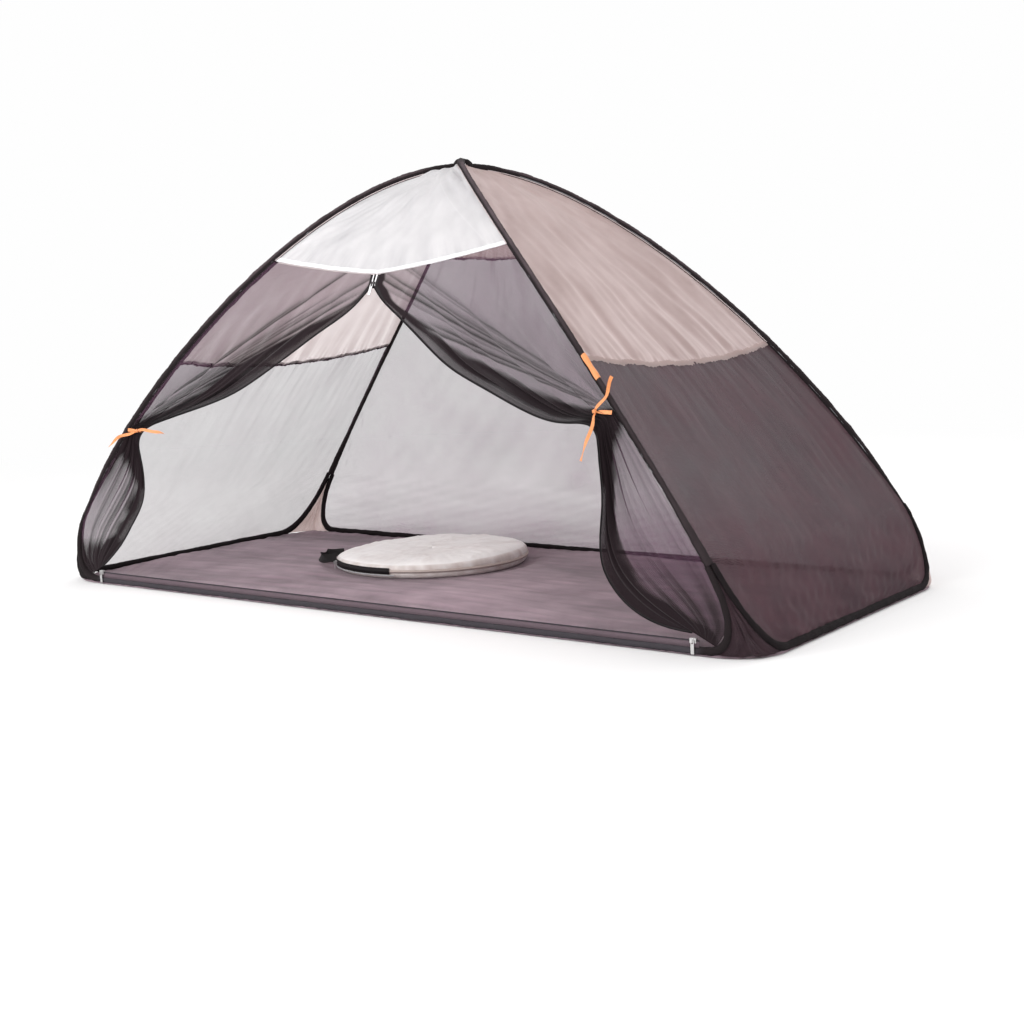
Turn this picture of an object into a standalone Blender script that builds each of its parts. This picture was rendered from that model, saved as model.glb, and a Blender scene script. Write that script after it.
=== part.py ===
"""Self-standing net tent: two crossed ridges, cloth roof, net walls and a door tied open."""
import bpy
import bmesh
import numpy as np

for old in list(bpy.data.objects):
    bpy.data.objects.remove(old, do_unlink=True)

# Overall sizes, in metres. +Z is up, the door faces -Y, the long side runs along X.
LENGTH = 2.00
WIDTH = 0.90
HEIGHT = 1.008

# Cloth and clearances
CLOTH = 0.0012
FLOOR_THICK = 0.002
SEAM_GAP = 0.0003
CROSSING_GAP = 0.0008
HALF_CLOTH = CLOTH / 2

# Spring wires and the sleeves that hold them
WIRE_RADIUS = 0.00175
WIRE_SIDES = 6
LANE = 0.0060
CROSSING_LIFT = 0.0020
RIDGE_HALF_WIDTH = 0.0115
RIDGE_HALF_THICK = 0.00525
RIDGE_NARROWING = 0.0029
RIDGE_ROUNDING = 0.00275
LANE_NARROWING = 0.0025
SLEEVE_WALL = 0.0010
SINGLE_RADIUS = 0.0056
BOTTOM_RADIUS = 0.0080
SLEEVE_SIDES = 8

# Apex strap that covers the crossing
STRAP_HALF_LONG = 0.034
STRAP_HALF_WIDE = 0.037
STRAP_DROOP = 0.0085
STRAP_CELLS = 6

# Ridge curve from the apex to a corner, as shares of half length, half width and height
CURVE_X_shares = (0.0, 0.20, 0.81, 1.0)
CURVE_Y_shares = (0.0, 0.74, 1.09, 1.0)
CURVE_Z_shares = (1.0, 1.0, 0.40, 0.0)

# Where things sit along a ridge, as shares of the curve
PANEL_TOP_share = 0.045
ROOF_HEM_share = 0.365
END_SEAM_share = 0.57
TIE_LEFT_share = 0.694
TIE_RIGHT_share = 0.650
SPLIT_share = 0.86
CROSSING_share = 0.109
PINCH_IN_share = 0.10
PINCH_OUT_share = 0.12
FRONT_BELLY_share = 0.044
BACK_BELLY_share = 0.012
END_BELLY_share = 0.022

# Corner bends and the straight runs along the floor
CORNER_REACH = 0.12
BEND_DROP = 0.085
BEND_REACH = 0.075
BEND_STEPS = 8
SWELL_START_share = 0.35
GUSSET_TOP_share = 0.25
GUSSET_END_share = 0.86
GUSSET_CELLS = 6

# How far a panel hangs inward between its ridges
BACK_SAG = 0.010
END_SAG = 0.012
BACK_COLUMNS = 12
END_COLUMNS = 8
FRONT_COLUMNS = 24
SAG_POWER = 2.0
HEM_POWER = 1.2

# Door curtains: the free edge of each, across and up the front, as shares of LENGTH/2 and HEIGHT
DOOR_TOP_share = 0.716
LEFT_EDGE_shares = (
    (-0.0120, 0.699), (-0.036, 0.670), (-0.080, 0.642), (-0.129, 0.617), (-0.190, 0.579),
    (-0.255, 0.541), (-0.310, 0.510), (-0.368, 0.481), (-0.435, 0.459), (-0.504, 0.441),
    (-0.575, 0.423), (-0.630, 0.408), (-0.668, 0.398), (-0.687, 0.387), (-0.698, 0.374),
    (-0.700, 0.360), (-0.690, 0.345), (-0.674, 0.326), (-0.667, 0.304), (-0.668, 0.279),
    (-0.656, 0.252), (-0.659, 0.225), (-0.690, 0.182), (-0.731, 0.134), (-0.765, 0.105),
    (-0.797, 0.080), (-0.828, 0.058))
RIGHT_EDGE_shares = (
    (0.0120, 0.699), (0.045, 0.676), (0.090, 0.650), (0.126, 0.627), (0.162, 0.602),
    (0.205, 0.573), (0.250, 0.542), (0.306, 0.517), (0.362, 0.495), (0.438, 0.463),
    (0.500, 0.440), (0.557, 0.428), (0.598, 0.432), (0.622, 0.438), (0.637, 0.436),
    (0.647, 0.425), (0.648, 0.408), (0.645, 0.386), (0.652, 0.352), (0.661, 0.320),
    (0.665, 0.276), (0.661, 0.246), (0.657, 0.187), (0.668, 0.140), (0.700, 0.092),
    (0.748, 0.062), (0.802, 0.046))
CURTAIN_COLUMNS = 12
FOLD_DEPTH = 0.0034
FOLD_FLAT_share = 0.10
FOOT_INSET = 0.0030
FOOT_CLEAR = 0.0098
CURTAIN_STEPS = 44
CLOSED_STEPS = 2
GATHER_POWER = 1.7
EDGE_EASE_ROUNDS = 2
EDGE_TAPE_WIDTH = 0.009
TOP_TAPE_WIDTH = 0.0125
TOP_SLIT = 0.0009

# Zip along the floor at the door
FLOOR_ZIP_END = 0.012
FLOOR_TAPE_HEIGHT = 0.0118
FLOOR_TAPE_THICK = 0.0014
COIL_RADIUS = 0.0016
COIL_SIDES = 6

# Zip sliders and pulls
SLIDER_LENGTH = 0.014
SLIDER_HALF_HEIGHT = 0.0046
SLIDER_PLATE = 0.0014
SLIDER_CLEAR = 0.0005
SLIDER_HALF_WIDE = 0.0048
SLIDER_POST = 0.0008
SLIDER_REST_INSET = 0.012
BRIDGE_HALF_HEIGHT = 0.0036
BRIDGE_POST = 0.0012
BRIDGE_WIDTH = 0.0016
PULL_PIN_OFFSET = 0.0017
BRIDGE_INNER = 0.0031
BRIDGE_OUTER = 0.0043
BRIDGE_ROOT = 0.0004
PULL_THICK = 0.0014
PULL_PIN_HALF = 0.0007
PULL_HALF_WIDTH = 0.0036
PULL_HOLE_HALF = 0.0019
PULL_HOLE_DEPTH = 0.0062
PULL_LENGTH = 0.026
BAG_PULL_LENGTH = 0.0155

# Ribbons that hold the curtains, and the blank tab
RIBBON_WIDTH = 0.010
RIBBON_THICK = 0.0010
RIBBON_CLEAR = 0.0008
RIBBON_TIP_CLEAR = 0.0120
RIBBON_BACK_START = 0.0050
KNOT_HALF_LONG = 0.0075
KNOT_HALF_DEEP = 0.0040
KNOT_AT_share = 0.72
KNOT_SIDES = 8
TAIL_WIDTH = 0.009
TAIL_OFFSET = 0.0080
TAIL_ROWS = 5
LEFT_TAIL_shares = ((-0.060, -0.030), (0.055, -0.006))
RIGHT_TAIL_shares = ((0.030, 0.062), (-0.024, -0.105))
TAIL_WAVE = 0.0020
TAB_WIDTH = 0.0115
TAB_LENGTH = 0.066
TAB_DROP = 0.0015
TAB_STEPS = 200

# Round storage bag lying on the floor
BAG_RADIUS = 0.250
BAG_THICK = 0.038
BAG_X_share = -0.275
BAG_INSET = 0.040
BAG_SEGMENTS = 40
BAG_TOP_DOME = 0.004
BAG_PROFILE_shares = ((0.60, 0.0), (0.90, 0.0), (0.975, 0.10), (1.0, 0.28),
                      (1.0, 0.72), (0.975, 0.90), (0.90, 0.98), (0.60, 1.0))
BAG_ZIP_HALF = 0.0055
BAG_COIL_HALF = 0.0015
BAG_COIL_RISE = 0.0012
BAG_ZIP_START = 25
BAG_ZIP_END = 45
BAG_SLIDER_AT = 25.7
BAG_SLIDER_LENGTH = 0.012
BAG_SLIDER_DEPTH = 0.0040
HANDLE_WIDTH = 0.020
HANDLE_THICK = 0.002
HANDLE_REACH_shares = ((22.0, 0.0), (22.0, 0.5), (22.35, 0.85), (23.0, 1.0), (23.65, 0.85),
                       (24.0, 0.5), (24.0, 0.0))
HANDLE_REACH = 0.042

HALF_LENGTH = LENGTH / 2
HALF_WIDTH = WIDTH / 2
FLOOR_TOP = FLOOR_THICK
RUN_Z = FLOOR_TOP + SEAM_GAP + BOTTOM_RADIUS
RUN_X = HALF_LENGTH - BOTTOM_RADIUS
RUN_Y = HALF_WIDTH - BOTTOM_RADIUS
RUN_HALF_LONG = HALF_LENGTH - CORNER_REACH
RUN_HALF_SHORT = HALF_WIDTH - CORNER_REACH
UPPER_TOP = HEIGHT - CLOTH - SEAM_GAP - RIDGE_HALF_THICK
LOWER_TOP = UPPER_TOP - 2 * RIDGE_HALF_THICK - CROSSING_GAP
ZIP_LEAN = np.pi / 4
ZIP_Y = -RUN_Y - BOTTOM_RADIUS * np.cos(ZIP_LEAN)
ZIP_FOOT = RUN_Z + BOTTOM_RADIUS * np.sin(ZIP_LEAN) + 2 * SEAM_GAP
ZIP_Z = ZIP_FOOT + FLOOR_TAPE_HEIGHT + COIL_RADIUS
ZIP_END_X = RUN_HALF_LONG - FLOOR_ZIP_END
SLIDER_X = ZIP_END_X - SLIDER_REST_INSET
DOOR_FOOT_X = SLIDER_X - FOOT_INSET
DOOR_FOOT_Z = ZIP_Z + SLIDER_HALF_HEIGHT + FOOT_CLEAR
BAG_CENTRE = np.array((BAG_X_share * HALF_LENGTH,
                       HALF_WIDTH - BAG_INSET - BAG_RADIUS, FLOOR_TOP + SEAM_GAP))
LEFT = -1
RIGHT = 1
FRONT = -1
BACK = 1
UP = np.array((0.0, 0.0, 1.0))
ALONG = np.array((1.0, 0.0, 0.0))
ACROSS = np.array((0.0, 1.0, 0.0))
CORNERS = ((LEFT, FRONT), (RIGHT, FRONT), (RIGHT, BACK), (LEFT, BACK))

RIDGE_STATIONS = np.concatenate((
    np.linspace(0.0, PANEL_TOP_share, 2),
    np.linspace(PANEL_TOP_share, ROOF_HEM_share, 6)[1:],
    np.linspace(ROOF_HEM_share, END_SEAM_share, 4)[1:],
    np.linspace(END_SEAM_share, SPLIT_share, 6)[1:]))
PANEL_ROW = 1
HEM_ROW = 6
END_SEAM_ROW = 9
BEND_STATIONS = np.linspace(0.0, 1.0, BEND_STEPS + 1)


def unit(v):
    """Vectors scaled to length one."""
    v = np.asarray(v, float)
    return v / np.linalg.norm(v, axis=-1, keepdims=True)


def bezier(points, t):
    """Cubic curve through four control points, with its direction."""
    p0, p1, p2, p3 = (np.asarray(p, float) for p in points)
    k = 1 - t
    at = k ** 3 * p0 + 3 * k * k * t * p1 + 3 * k * t * t * p2 + t ** 3 * p3
    way = k * k * (p1 - p0) + 2 * k * t * (p2 - p1) + t * t * (p3 - p2)
    return at, unit(way)


def ease(x):
    """Smooth step from 0 to 1."""
    x = np.clip(x, 0.0, 1.0)
    return x * x * (3 - 2 * x)


def ridge_frame(t, sx, sy):
    """Point on a ridge, its downward direction, the way to the long-side panel, and outward."""
    top = LOWER_TOP if sx * sy > 0 else UPPER_TOP
    points = [(sx * HALF_LENGTH * x, sy * HALF_WIDTH * y, top * z)
              for x, y, z in zip(CURVE_X_shares, CURVE_Y_shares, CURVE_Z_shares)]
    at, down = bezier(points, t)
    outward = (1 - t) * UP + t * unit((sx, sy, 0.0))
    side = np.cross(down, outward)
    side = unit(side) * (-sx * sy)
    return at, down, side, unit(np.cross(side, down)) * (-sx * sy)


def pinch(t):
    """How far a ridge sleeve has closed into a round tube, from flat at the apex and the split."""
    opened = ease((t - PANEL_TOP_share) / PINCH_IN_share)
    return opened * ease((SPLIT_share - t) / PINCH_OUT_share)


def half_width(t):
    """Half the width of a ridge sleeve."""
    return RIDGE_HALF_WIDTH - RIDGE_NARROWING * pinch(t)


def half_thick(t):
    """Half the thickness of a ridge sleeve."""
    return RIDGE_HALF_THICK + RIDGE_ROUNDING * pinch(t)


def ridge_edge(t, sx, sy, long_side):
    """Edge line of the panel that is sewn to a ridge sleeve."""
    at, down, side, out = ridge_frame(t, sx, sy)
    reach = half_width(t) + SEAM_GAP + HALF_CLOTH
    return at + side * (reach if long_side else -reach)


def bend_radius(s):
    """Sleeve radius swells from the ridge's to the floor run's."""
    grow = ease((s - SWELL_START_share) / (1 - SWELL_START_share))
    return SINGLE_RADIUS + (BOTTOM_RADIUS - SINGLE_RADIUS) * grow


def bend_frame(s, sx, sy, long_side):
    """Centre of one wire's corner bend, its direction, the way to its panel and across."""
    at, down, side, out = ridge_frame(SPLIT_share, sx, sy)
    start = at + side * (LANE if long_side else -LANE)
    if long_side:
        end = np.array((sx * RUN_HALF_LONG, sy * RUN_Y, RUN_Z))
        handle = end + sx * BEND_REACH * ALONG
        axis = ACROSS
        inward = np.array((-sx, 0.0, 1.0))
    else:
        end = np.array((sx * RUN_X, sy * RUN_HALF_SHORT, RUN_Z))
        handle = end + sy * BEND_REACH * ACROSS
        axis = ALONG
        inward = np.array((0.0, -sy, 1.0))
    centre, way = bezier((start, start + down * BEND_DROP, handle, end), s)
    flat = unit(np.cross(way, axis))
    flat = flat * np.sign(flat @ inward)
    first = side if long_side else -side
    k = ease(s / SWELL_START_share)
    toward = first * (1 - k) + flat * k
    toward = unit(toward - way * (toward @ way))
    return centre, way, toward, unit(np.cross(way, toward))


def bend_edge(s, sx, sy, long_side):
    """Edge line of the panel sewn to a corner bend."""
    centre, way, toward, across = bend_frame(s, sx, sy, long_side)
    return centre + toward * (bend_radius(s) + SEAM_GAP + HALF_CLOTH)


def oval_ring(at, side, out, half_width, half_thick):
    """Outline with two half-round ends and flat faces."""
    flat = half_width - half_thick
    ring = []
    for turn in (0, 1):
        sign = 1 - 2 * turn
        for step in range(-2, 3):
            angle = step * np.pi / 4
            across = sign * (flat + half_thick * np.cos(angle))
            rise = sign * half_thick * np.sin(angle)
            ring.append(at + side * across + out * rise)
    return ring


def round_ring(at, side, out, radius, sides):
    """Regular outline with its first corner on the side direction."""
    angles = np.arange(sides) * 2 * np.pi / sides
    return [at + side * radius * np.cos(a) + out * radius * np.sin(a) for a in angles]


def tube(outer, inner=None, closed=False):
    """Skin over a row of outlines, hollow when inner outlines are given."""
    outer = np.asarray(outer, float)
    rows, cols = outer.shape[:2]
    verts = [outer.reshape(-1, 3)]
    faces = []
    last = rows if closed else rows - 1

    def skin(base, flip):
        for i in range(last):
            k = (i + 1) % rows
            for j in range(cols):
                m = (j + 1) % cols
                quad = [base + i * cols + j, base + i * cols + m,
                        base + k * cols + m, base + k * cols + j]
                faces.append(quad[::-1] if flip else quad)

    skin(0, False)
    if inner is not None:
        verts.append(np.asarray(inner, float).reshape(-1, 3))
        base = rows * cols
        skin(base, True)
        for row in (0, rows - 1):
            for j in range(cols):
                m = (j + 1) % cols
                a = row * cols
                quad = [a + j, a + m, base + a + m, base + a + j]
                faces.append(quad if row else quad[::-1])
    elif not closed:
        faces.append(list(range(cols))[::-1])
        faces.append([(rows - 1) * cols + j for j in range(cols)])
    return np.concatenate(verts), faces


def grid_normals(grid):
    """Unit normal at each point of a grid of points."""
    return unit(np.cross(np.gradient(grid, axis=1), np.gradient(grid, axis=0)))


def slab(grid, normals, thick):
    """Closed sheet of even thickness over a grid of points."""
    rows, cols = grid.shape[:2]
    half = thick / 2
    verts = np.concatenate(((grid + normals * half).reshape(-1, 3),
                            (grid - normals * half).reshape(-1, 3)))
    base = rows * cols
    faces = []
    for i in range(rows - 1):
        for j in range(cols - 1):
            a = i * cols + j
            quad = [a, a + 1, a + cols + 1, a + cols]
            faces.append(quad)
            faces.append([base + v for v in quad[::-1]])
    rim = [j for j in range(cols)]
    rim += [i * cols + cols - 1 for i in range(1, rows)]
    rim += [(rows - 1) * cols + j for j in range(cols - 2, -1, -1)]
    rim += [i * cols for i in range(rows - 2, 0, -1)]
    for a, b in zip(rim, rim[1:] + rim[:1]):
        faces.append([b, a, base + a, base + b])
    return verts, faces


def prism(outline, start, end):
    """Straight body over a flat outline, from one offset to another."""
    outline = np.asarray(outline, float)
    return tube((outline + start, outline + end))


def place(points, origin, x_way, y_way, z_way):
    """Local coordinates carried into the tent's frame."""
    points = np.asarray(points, float)
    return (origin + points[:, :1] * x_way + points[:, 1:2] * y_way + points[:, 2:3] * z_way)


def add_object(name, bodies, colour, rough, metal=0.0):
    """One object from closed bodies, with its own material."""
    mesh = bpy.data.meshes.new(name)
    verts = []
    faces = []
    for points, polygons in bodies:
        base = len(verts)
        verts.extend(map(tuple, points))
        faces.extend([[base + v for v in poly] for poly in polygons])
    mesh.from_pydata(verts, [], faces)
    shape = bmesh.new()
    shape.from_mesh(mesh)
    bmesh.ops.recalc_face_normals(shape, faces=shape.faces)
    bmesh.ops.triangulate(shape, faces=shape.faces)
    shape.to_mesh(mesh)
    shape.free()
    material = bpy.data.materials.new(name)
    material.use_nodes = True
    shader = material.node_tree.nodes["Principled BSDF"]
    shader.inputs["Base Color"].default_value = (*colour, 1.0)
    shader.inputs["Roughness"].default_value = rough
    shader.inputs["Metallic"].default_value = metal
    mesh.materials.append(material)
    made = bpy.data.objects.new(name, mesh)
    bpy.context.scene.collection.objects.link(made)
    return made


def unite(target, other):
    """Join one body onto another and drop the spare object."""
    join = target.modifiers.new("join", "BOOLEAN")
    join.operation = "UNION"
    join.solver = "EXACT"
    join.object = other
    graph = bpy.context.evaluated_depsgraph_get()
    joined = bpy.data.meshes.new_from_object(target.evaluated_get(graph))
    target.modifiers.remove(join)
    target.data = joined
    bpy.data.objects.remove(other)


# Colours
BLACK_CLOTH = (0.030, 0.024, 0.026)
WHITE_CLOTH = (0.86, 0.85, 0.86)
BEIGE_CLOTH = (0.60, 0.53, 0.50)
DARK_NET = (0.17, 0.14, 0.16)
LIGHT_NET = (0.52, 0.49, 0.52)
GREY_CLOTH = (0.22, 0.19, 0.20)
ORANGE_CLOTH = (0.82, 0.33, 0.11)
STEEL = (0.45, 0.45, 0.47)
SILVER = (0.62, 0.62, 0.63)


def lane_at(t):
    """Share of the lane offset a wire has reached at a distance from the apex."""
    return min(t / CROSSING_share, 1.0)


def ridge_wire(sx, sy, long_side):
    """Wire centres down one ridge, the two loops crossing over each other at the apex."""
    sign = 1 if long_side else -1
    centres = []
    for t in RIDGE_STATIONS:
        at, down, side, out = ridge_frame(t, sx, sy)
        reach = lane_at(t)
        lift = sign * CROSSING_LIFT * (1 - reach * reach)
        lane = LANE - LANE_NARROWING * pinch(t)
        centres.append(at + side * sign * lane * reach + out * lift)
    for s in BEND_STATIONS[1:]:
        centres.append(bend_frame(s, sx, sy, long_side)[0])
    return centres


def make_wire(name, corners, long_side):
    """Closed loop through four corners, given as pairs joined along the floor."""
    path = []
    for first, second in corners:
        path += ridge_wire(*first, long_side)
        path += ridge_wire(*second, long_side)[::-1][:-1]
    path = np.array(path)
    way = unit(np.roll(path, -1, axis=0) - np.roll(path, 1, axis=0))
    rings = []
    side = unit(np.cross(way[0], UP))
    for centre, along in zip(path, way):
        side = unit(side - along * (side @ along))
        rings.append(round_ring(centre, side, np.cross(along, side), WIRE_RADIUS, WIRE_SIDES))
    add_object(name, [tube(rings, closed=True)], STEEL, 0.35, 1.0)


def make_ridge_sleeve(name, first, second):
    """Flat black sleeve from one corner's split over the apex to the opposite split."""
    outer = []
    inner = []
    stations = [(t, *first, 1) for t in RIDGE_STATIONS[::-1]]
    stations += [(t, *second, -1) for t in RIDGE_STATIONS[1:]]
    for t, sx, sy, sign in stations:
        at, down, side, out = ridge_frame(t, sx, sy)
        wide = half_width(t)
        thick = half_thick(t)
        outer.append(oval_ring(at, side * sign, out, wide, thick))
        inner.append(oval_ring(at, side * sign, out, wide - SLEEVE_WALL, thick - SLEEVE_WALL))
    add_object(name, [tube(outer, inner)], BLACK_CLOTH, 0.8)


def make_bottom_sleeve(name, first, second, long_side):
    """Round sleeve from one split round its corner, along the floor and up to the next split."""
    outer = []
    inner = []
    stations = [(s, *first, 1) for s in BEND_STATIONS]
    stations += [(s, *second, -1) for s in BEND_STATIONS[::-1]]
    for s, sx, sy, sign in stations:
        centre, way, toward, across = bend_frame(s, sx, sy, long_side)
        if s == 0.0:
            centre = centre + way * SEAM_GAP
        radius = bend_radius(s)
        outer.append(round_ring(centre, toward, across * sign, radius, SLEEVE_SIDES))
        inner.append(round_ring(centre, toward, across * sign, radius - SLEEVE_WALL, SLEEVE_SIDES))
    add_object(name, [tube(outer, inner)], BLACK_CLOTH, 0.8)


def make_apex_strap():
    """Cloth over the crossing, flat along the upper sleeve and falling to each side."""
    t = PANEL_TOP_share
    far = ridge_frame(t, RIGHT, FRONT)[0]
    flat = np.array((far[0], far[1], 0.0))
    along = unit(flat)
    perp = np.array((-along[1], along[0], 0.0))
    fall = (UPPER_TOP - far[2]) / np.linalg.norm(flat)
    grid = []
    for i in range(STRAP_CELLS + 1):
        a = STRAP_HALF_LONG * (2 * i / STRAP_CELLS - 1)
        row = []
        for j in range(STRAP_CELLS + 1):
            p = STRAP_HALF_WIDE * (2 * j / STRAP_CELLS - 1)
            spread = STRAP_HALF_WIDE - RIDGE_HALF_WIDTH
            droop = STRAP_DROOP * ease((abs(p) - RIDGE_HALF_WIDTH) / spread)
            height = HEIGHT - HALF_CLOTH - abs(a) * fall - droop
            row.append(along * a + perp * p + UP * height)
        grid.append(row)
    grid = np.array(grid)
    normals = np.broadcast_to(UP, grid.shape)
    add_object("apex_strap", [slab(grid, normals, CLOTH)], BLACK_CLOTH, 0.8)


def panel_grid(first, second, long_side, seam_row, belly, sag, columns, full, power=SAG_POWER):
    """Points of one wall, row by row from the apex, between two ridges and their bends."""
    u = np.linspace(0.0, 1.0, columns + 1)
    bow = 1 - abs(2 * u - 1) ** power
    inward = -ACROSS * first[1] if long_side else -ALONG * first[0]
    grid = []
    last_row = len(RIDGE_STATIONS) - 1 if full else seam_row
    for i in range(PANEL_ROW, last_row + 1):
        if i <= seam_row:
            part = (i - PANEL_ROW) / (seam_row - PANEL_ROW)
        else:
            part = (last_row - i) / (last_row - seam_row)
        depth = RIDGE_STATIONS[i] / SPLIT_share
        row = []
        for j in range(columns + 1):
            t = RIDGE_STATIONS[i] + belly * bow[j] * part
            a = ridge_edge(t, *first, long_side)
            b = ridge_edge(t, *second, long_side)
            hang = sag * bow[j] * np.sin(np.pi * min(depth, 1.0))
            row.append(a * (1 - u[j]) + b * u[j] + inward * hang)
        grid.append(row)
    if full:
        for s in BEND_STATIONS[1:]:
            a = bend_edge(s, *first, long_side)
            b = bend_edge(s, *second, long_side)
            grid.append([a * (1 - k) + b * k for k in u])
    return np.array(grid)


def make_wall(name, first, second, long_side, seam_row, belly, sag, columns, net):
    """Beige roof down to the seam and a net wall under it."""
    grid = panel_grid(first, second, long_side, seam_row, belly, sag, columns, True)
    normals = grid_normals(grid)
    cut = seam_row - PANEL_ROW
    add_object("roof_" + name, [slab(grid[:cut + 1], normals[:cut + 1], CLOTH)], BEIGE_CLOTH, 0.7)
    wall = grid[cut:].copy()
    wall[0] = wall[0] + unit(wall[1] - wall[0]) * SEAM_GAP
    add_object("net_" + name, [slab(wall, normals[cut:], CLOTH)], net, 0.9)


def make_gusset(name, sx, sy, colour):
    """Cloth web in a corner, between the two parted sleeves and the floor's corner."""
    corner = np.array((sx * (HALF_LENGTH - CLOTH), sy * (HALF_WIDTH - CLOTH), FLOOR_TOP + CLOTH))
    grid = []
    for i in range(GUSSET_CELLS + 1):
        part = i / GUSSET_CELLS
        s = GUSSET_TOP_share + (GUSSET_END_share - GUSSET_TOP_share) * part
        ends = []
        for long_side in (True, False):
            centre, way, toward, across = bend_frame(s, sx, sy, long_side)
            ends.append((centre, toward, bend_radius(s) + SEAM_GAP + HALF_CLOTH, way))
        (ca, ta, ra, wa), (cb, tb, rb, wb) = ends
        between = unit(cb - ca)
        a_way = unit(-ta * (1 - part) + unit(corner - ca) * part + between * (1 - part))
        b_way = unit(-tb * (1 - part) + unit(corner - cb) * part - between * (1 - part))
        a_way = unit(a_way - wa * (a_way @ wa))
        b_way = unit(b_way - wb * (b_way @ wb))
        a = ca + a_way * ra
        b = cb + b_way * rb
        middle = (a + b) / 2
        pull = middle * (1 - part) + corner * part
        row = []
        for j in range(GUSSET_CELLS + 1):
            u = j / GUSSET_CELLS
            row.append(a * (1 - u) ** 2 + pull * 2 * u * (1 - u) + b * u * u)
        grid.append(row)
    grid = np.array(grid)
    grid[..., 2] = np.maximum(grid[..., 2], FLOOR_TOP + CLOTH)
    add_object(name, [slab(grid, grid_normals(grid), CLOTH)], colour, 0.8)


DOOR_LINES = []


def read_door_lines():
    """The two front ridges' edge lines, from the floor up."""
    for sx in (LEFT, RIGHT):
        line = [ridge_edge(t, sx, FRONT, True) for t in RIDGE_STATIONS[PANEL_ROW:]]
        line += [bend_edge(s, sx, FRONT, True) for s in BEND_STATIONS[1:]]
        DOOR_LINES.append(np.array(line)[::-1])


def front_depth(x, z):
    """How far forward the door plane lies at a point across and up the front."""
    depths = [np.interp(z, line[:, 2], line[:, 1]) for line in DOOR_LINES]
    share = np.clip(x / (ROOF_HEM_share * LENGTH) + 1 / 2, 0.0, 1.0)
    return depths[0] * (1 - share) + depths[1] * share


def resample(points, count, power=1.0):
    """Steps along a line of points, even or crowding toward its start."""
    points = np.asarray(points, float)
    steps = np.linalg.norm(np.diff(points, axis=0), axis=1)
    reach = np.concatenate(((0.0,), np.cumsum(steps)))
    at = np.linspace(0.0, 1.0, count) ** power * reach[-1]
    return np.stack([np.interp(at, reach, points[:, k]) for k in range(points.shape[1])], axis=1)


def smooth_line(points, rounds):
    """Line with its kinks eased, ends kept."""
    points = np.array(points, float)
    for turn in range(rounds):
        points[1:-1] = (points[:-2] + 2 * points[1:-1] + points[2:]) / 4
    return points


def free_edge(sx, hem_z):
    """Free edge of one curtain's tape, across and up, from the roof hem to the floor zip."""
    shares = LEFT_EDGE_shares if sx == LEFT else RIGHT_EDGE_shares
    top_x = sx * TOP_SLIT
    closed = [(top_x, hem_z - SEAM_GAP - CLOTH), (top_x, DOOR_TOP_share * HEIGHT)]
    opened = closed[1:] + [(x * HALF_LENGTH, z * HEIGHT) for x, z in shares]
    opened.append((sx * DOOR_FOOT_X, DOOR_FOOT_Z))
    first = resample(closed, CLOSED_STEPS + 1)
    rest = smooth_line(resample(opened, CURTAIN_STEPS - CLOSED_STEPS + 1), EDGE_EASE_ROUNDS)
    return np.concatenate((first, rest[1:]))


def sleeve_line(sx, tie, count_up, count_down):
    """Points down the sleeve edge, from the hem to the tie and on to the end of the bend."""
    stations = RIDGE_STATIONS[HEM_ROW:]
    line = [ridge_edge(t, sx, FRONT, True) for t in stations]
    line[0] = line[0] + unit(line[1] - line[0]) * (SEAM_GAP + CLOTH)
    bend = [bend_edge(s, sx, FRONT, True) for s in BEND_STATIONS[1:-1]]
    before = max(k for k, t in enumerate(stations) if t < tie)
    after = before + 1
    part = (tie - stations[before]) / (stations[after] - stations[before])
    held = line[before] * (1 - part) + line[after] * part
    upper = resample([held] + line[:after][::-1], count_up, GATHER_POWER)[::-1]
    lower = resample([held] + line[after:] + bend, count_down, GATHER_POWER)
    return np.concatenate((upper, lower[1:]))


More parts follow.
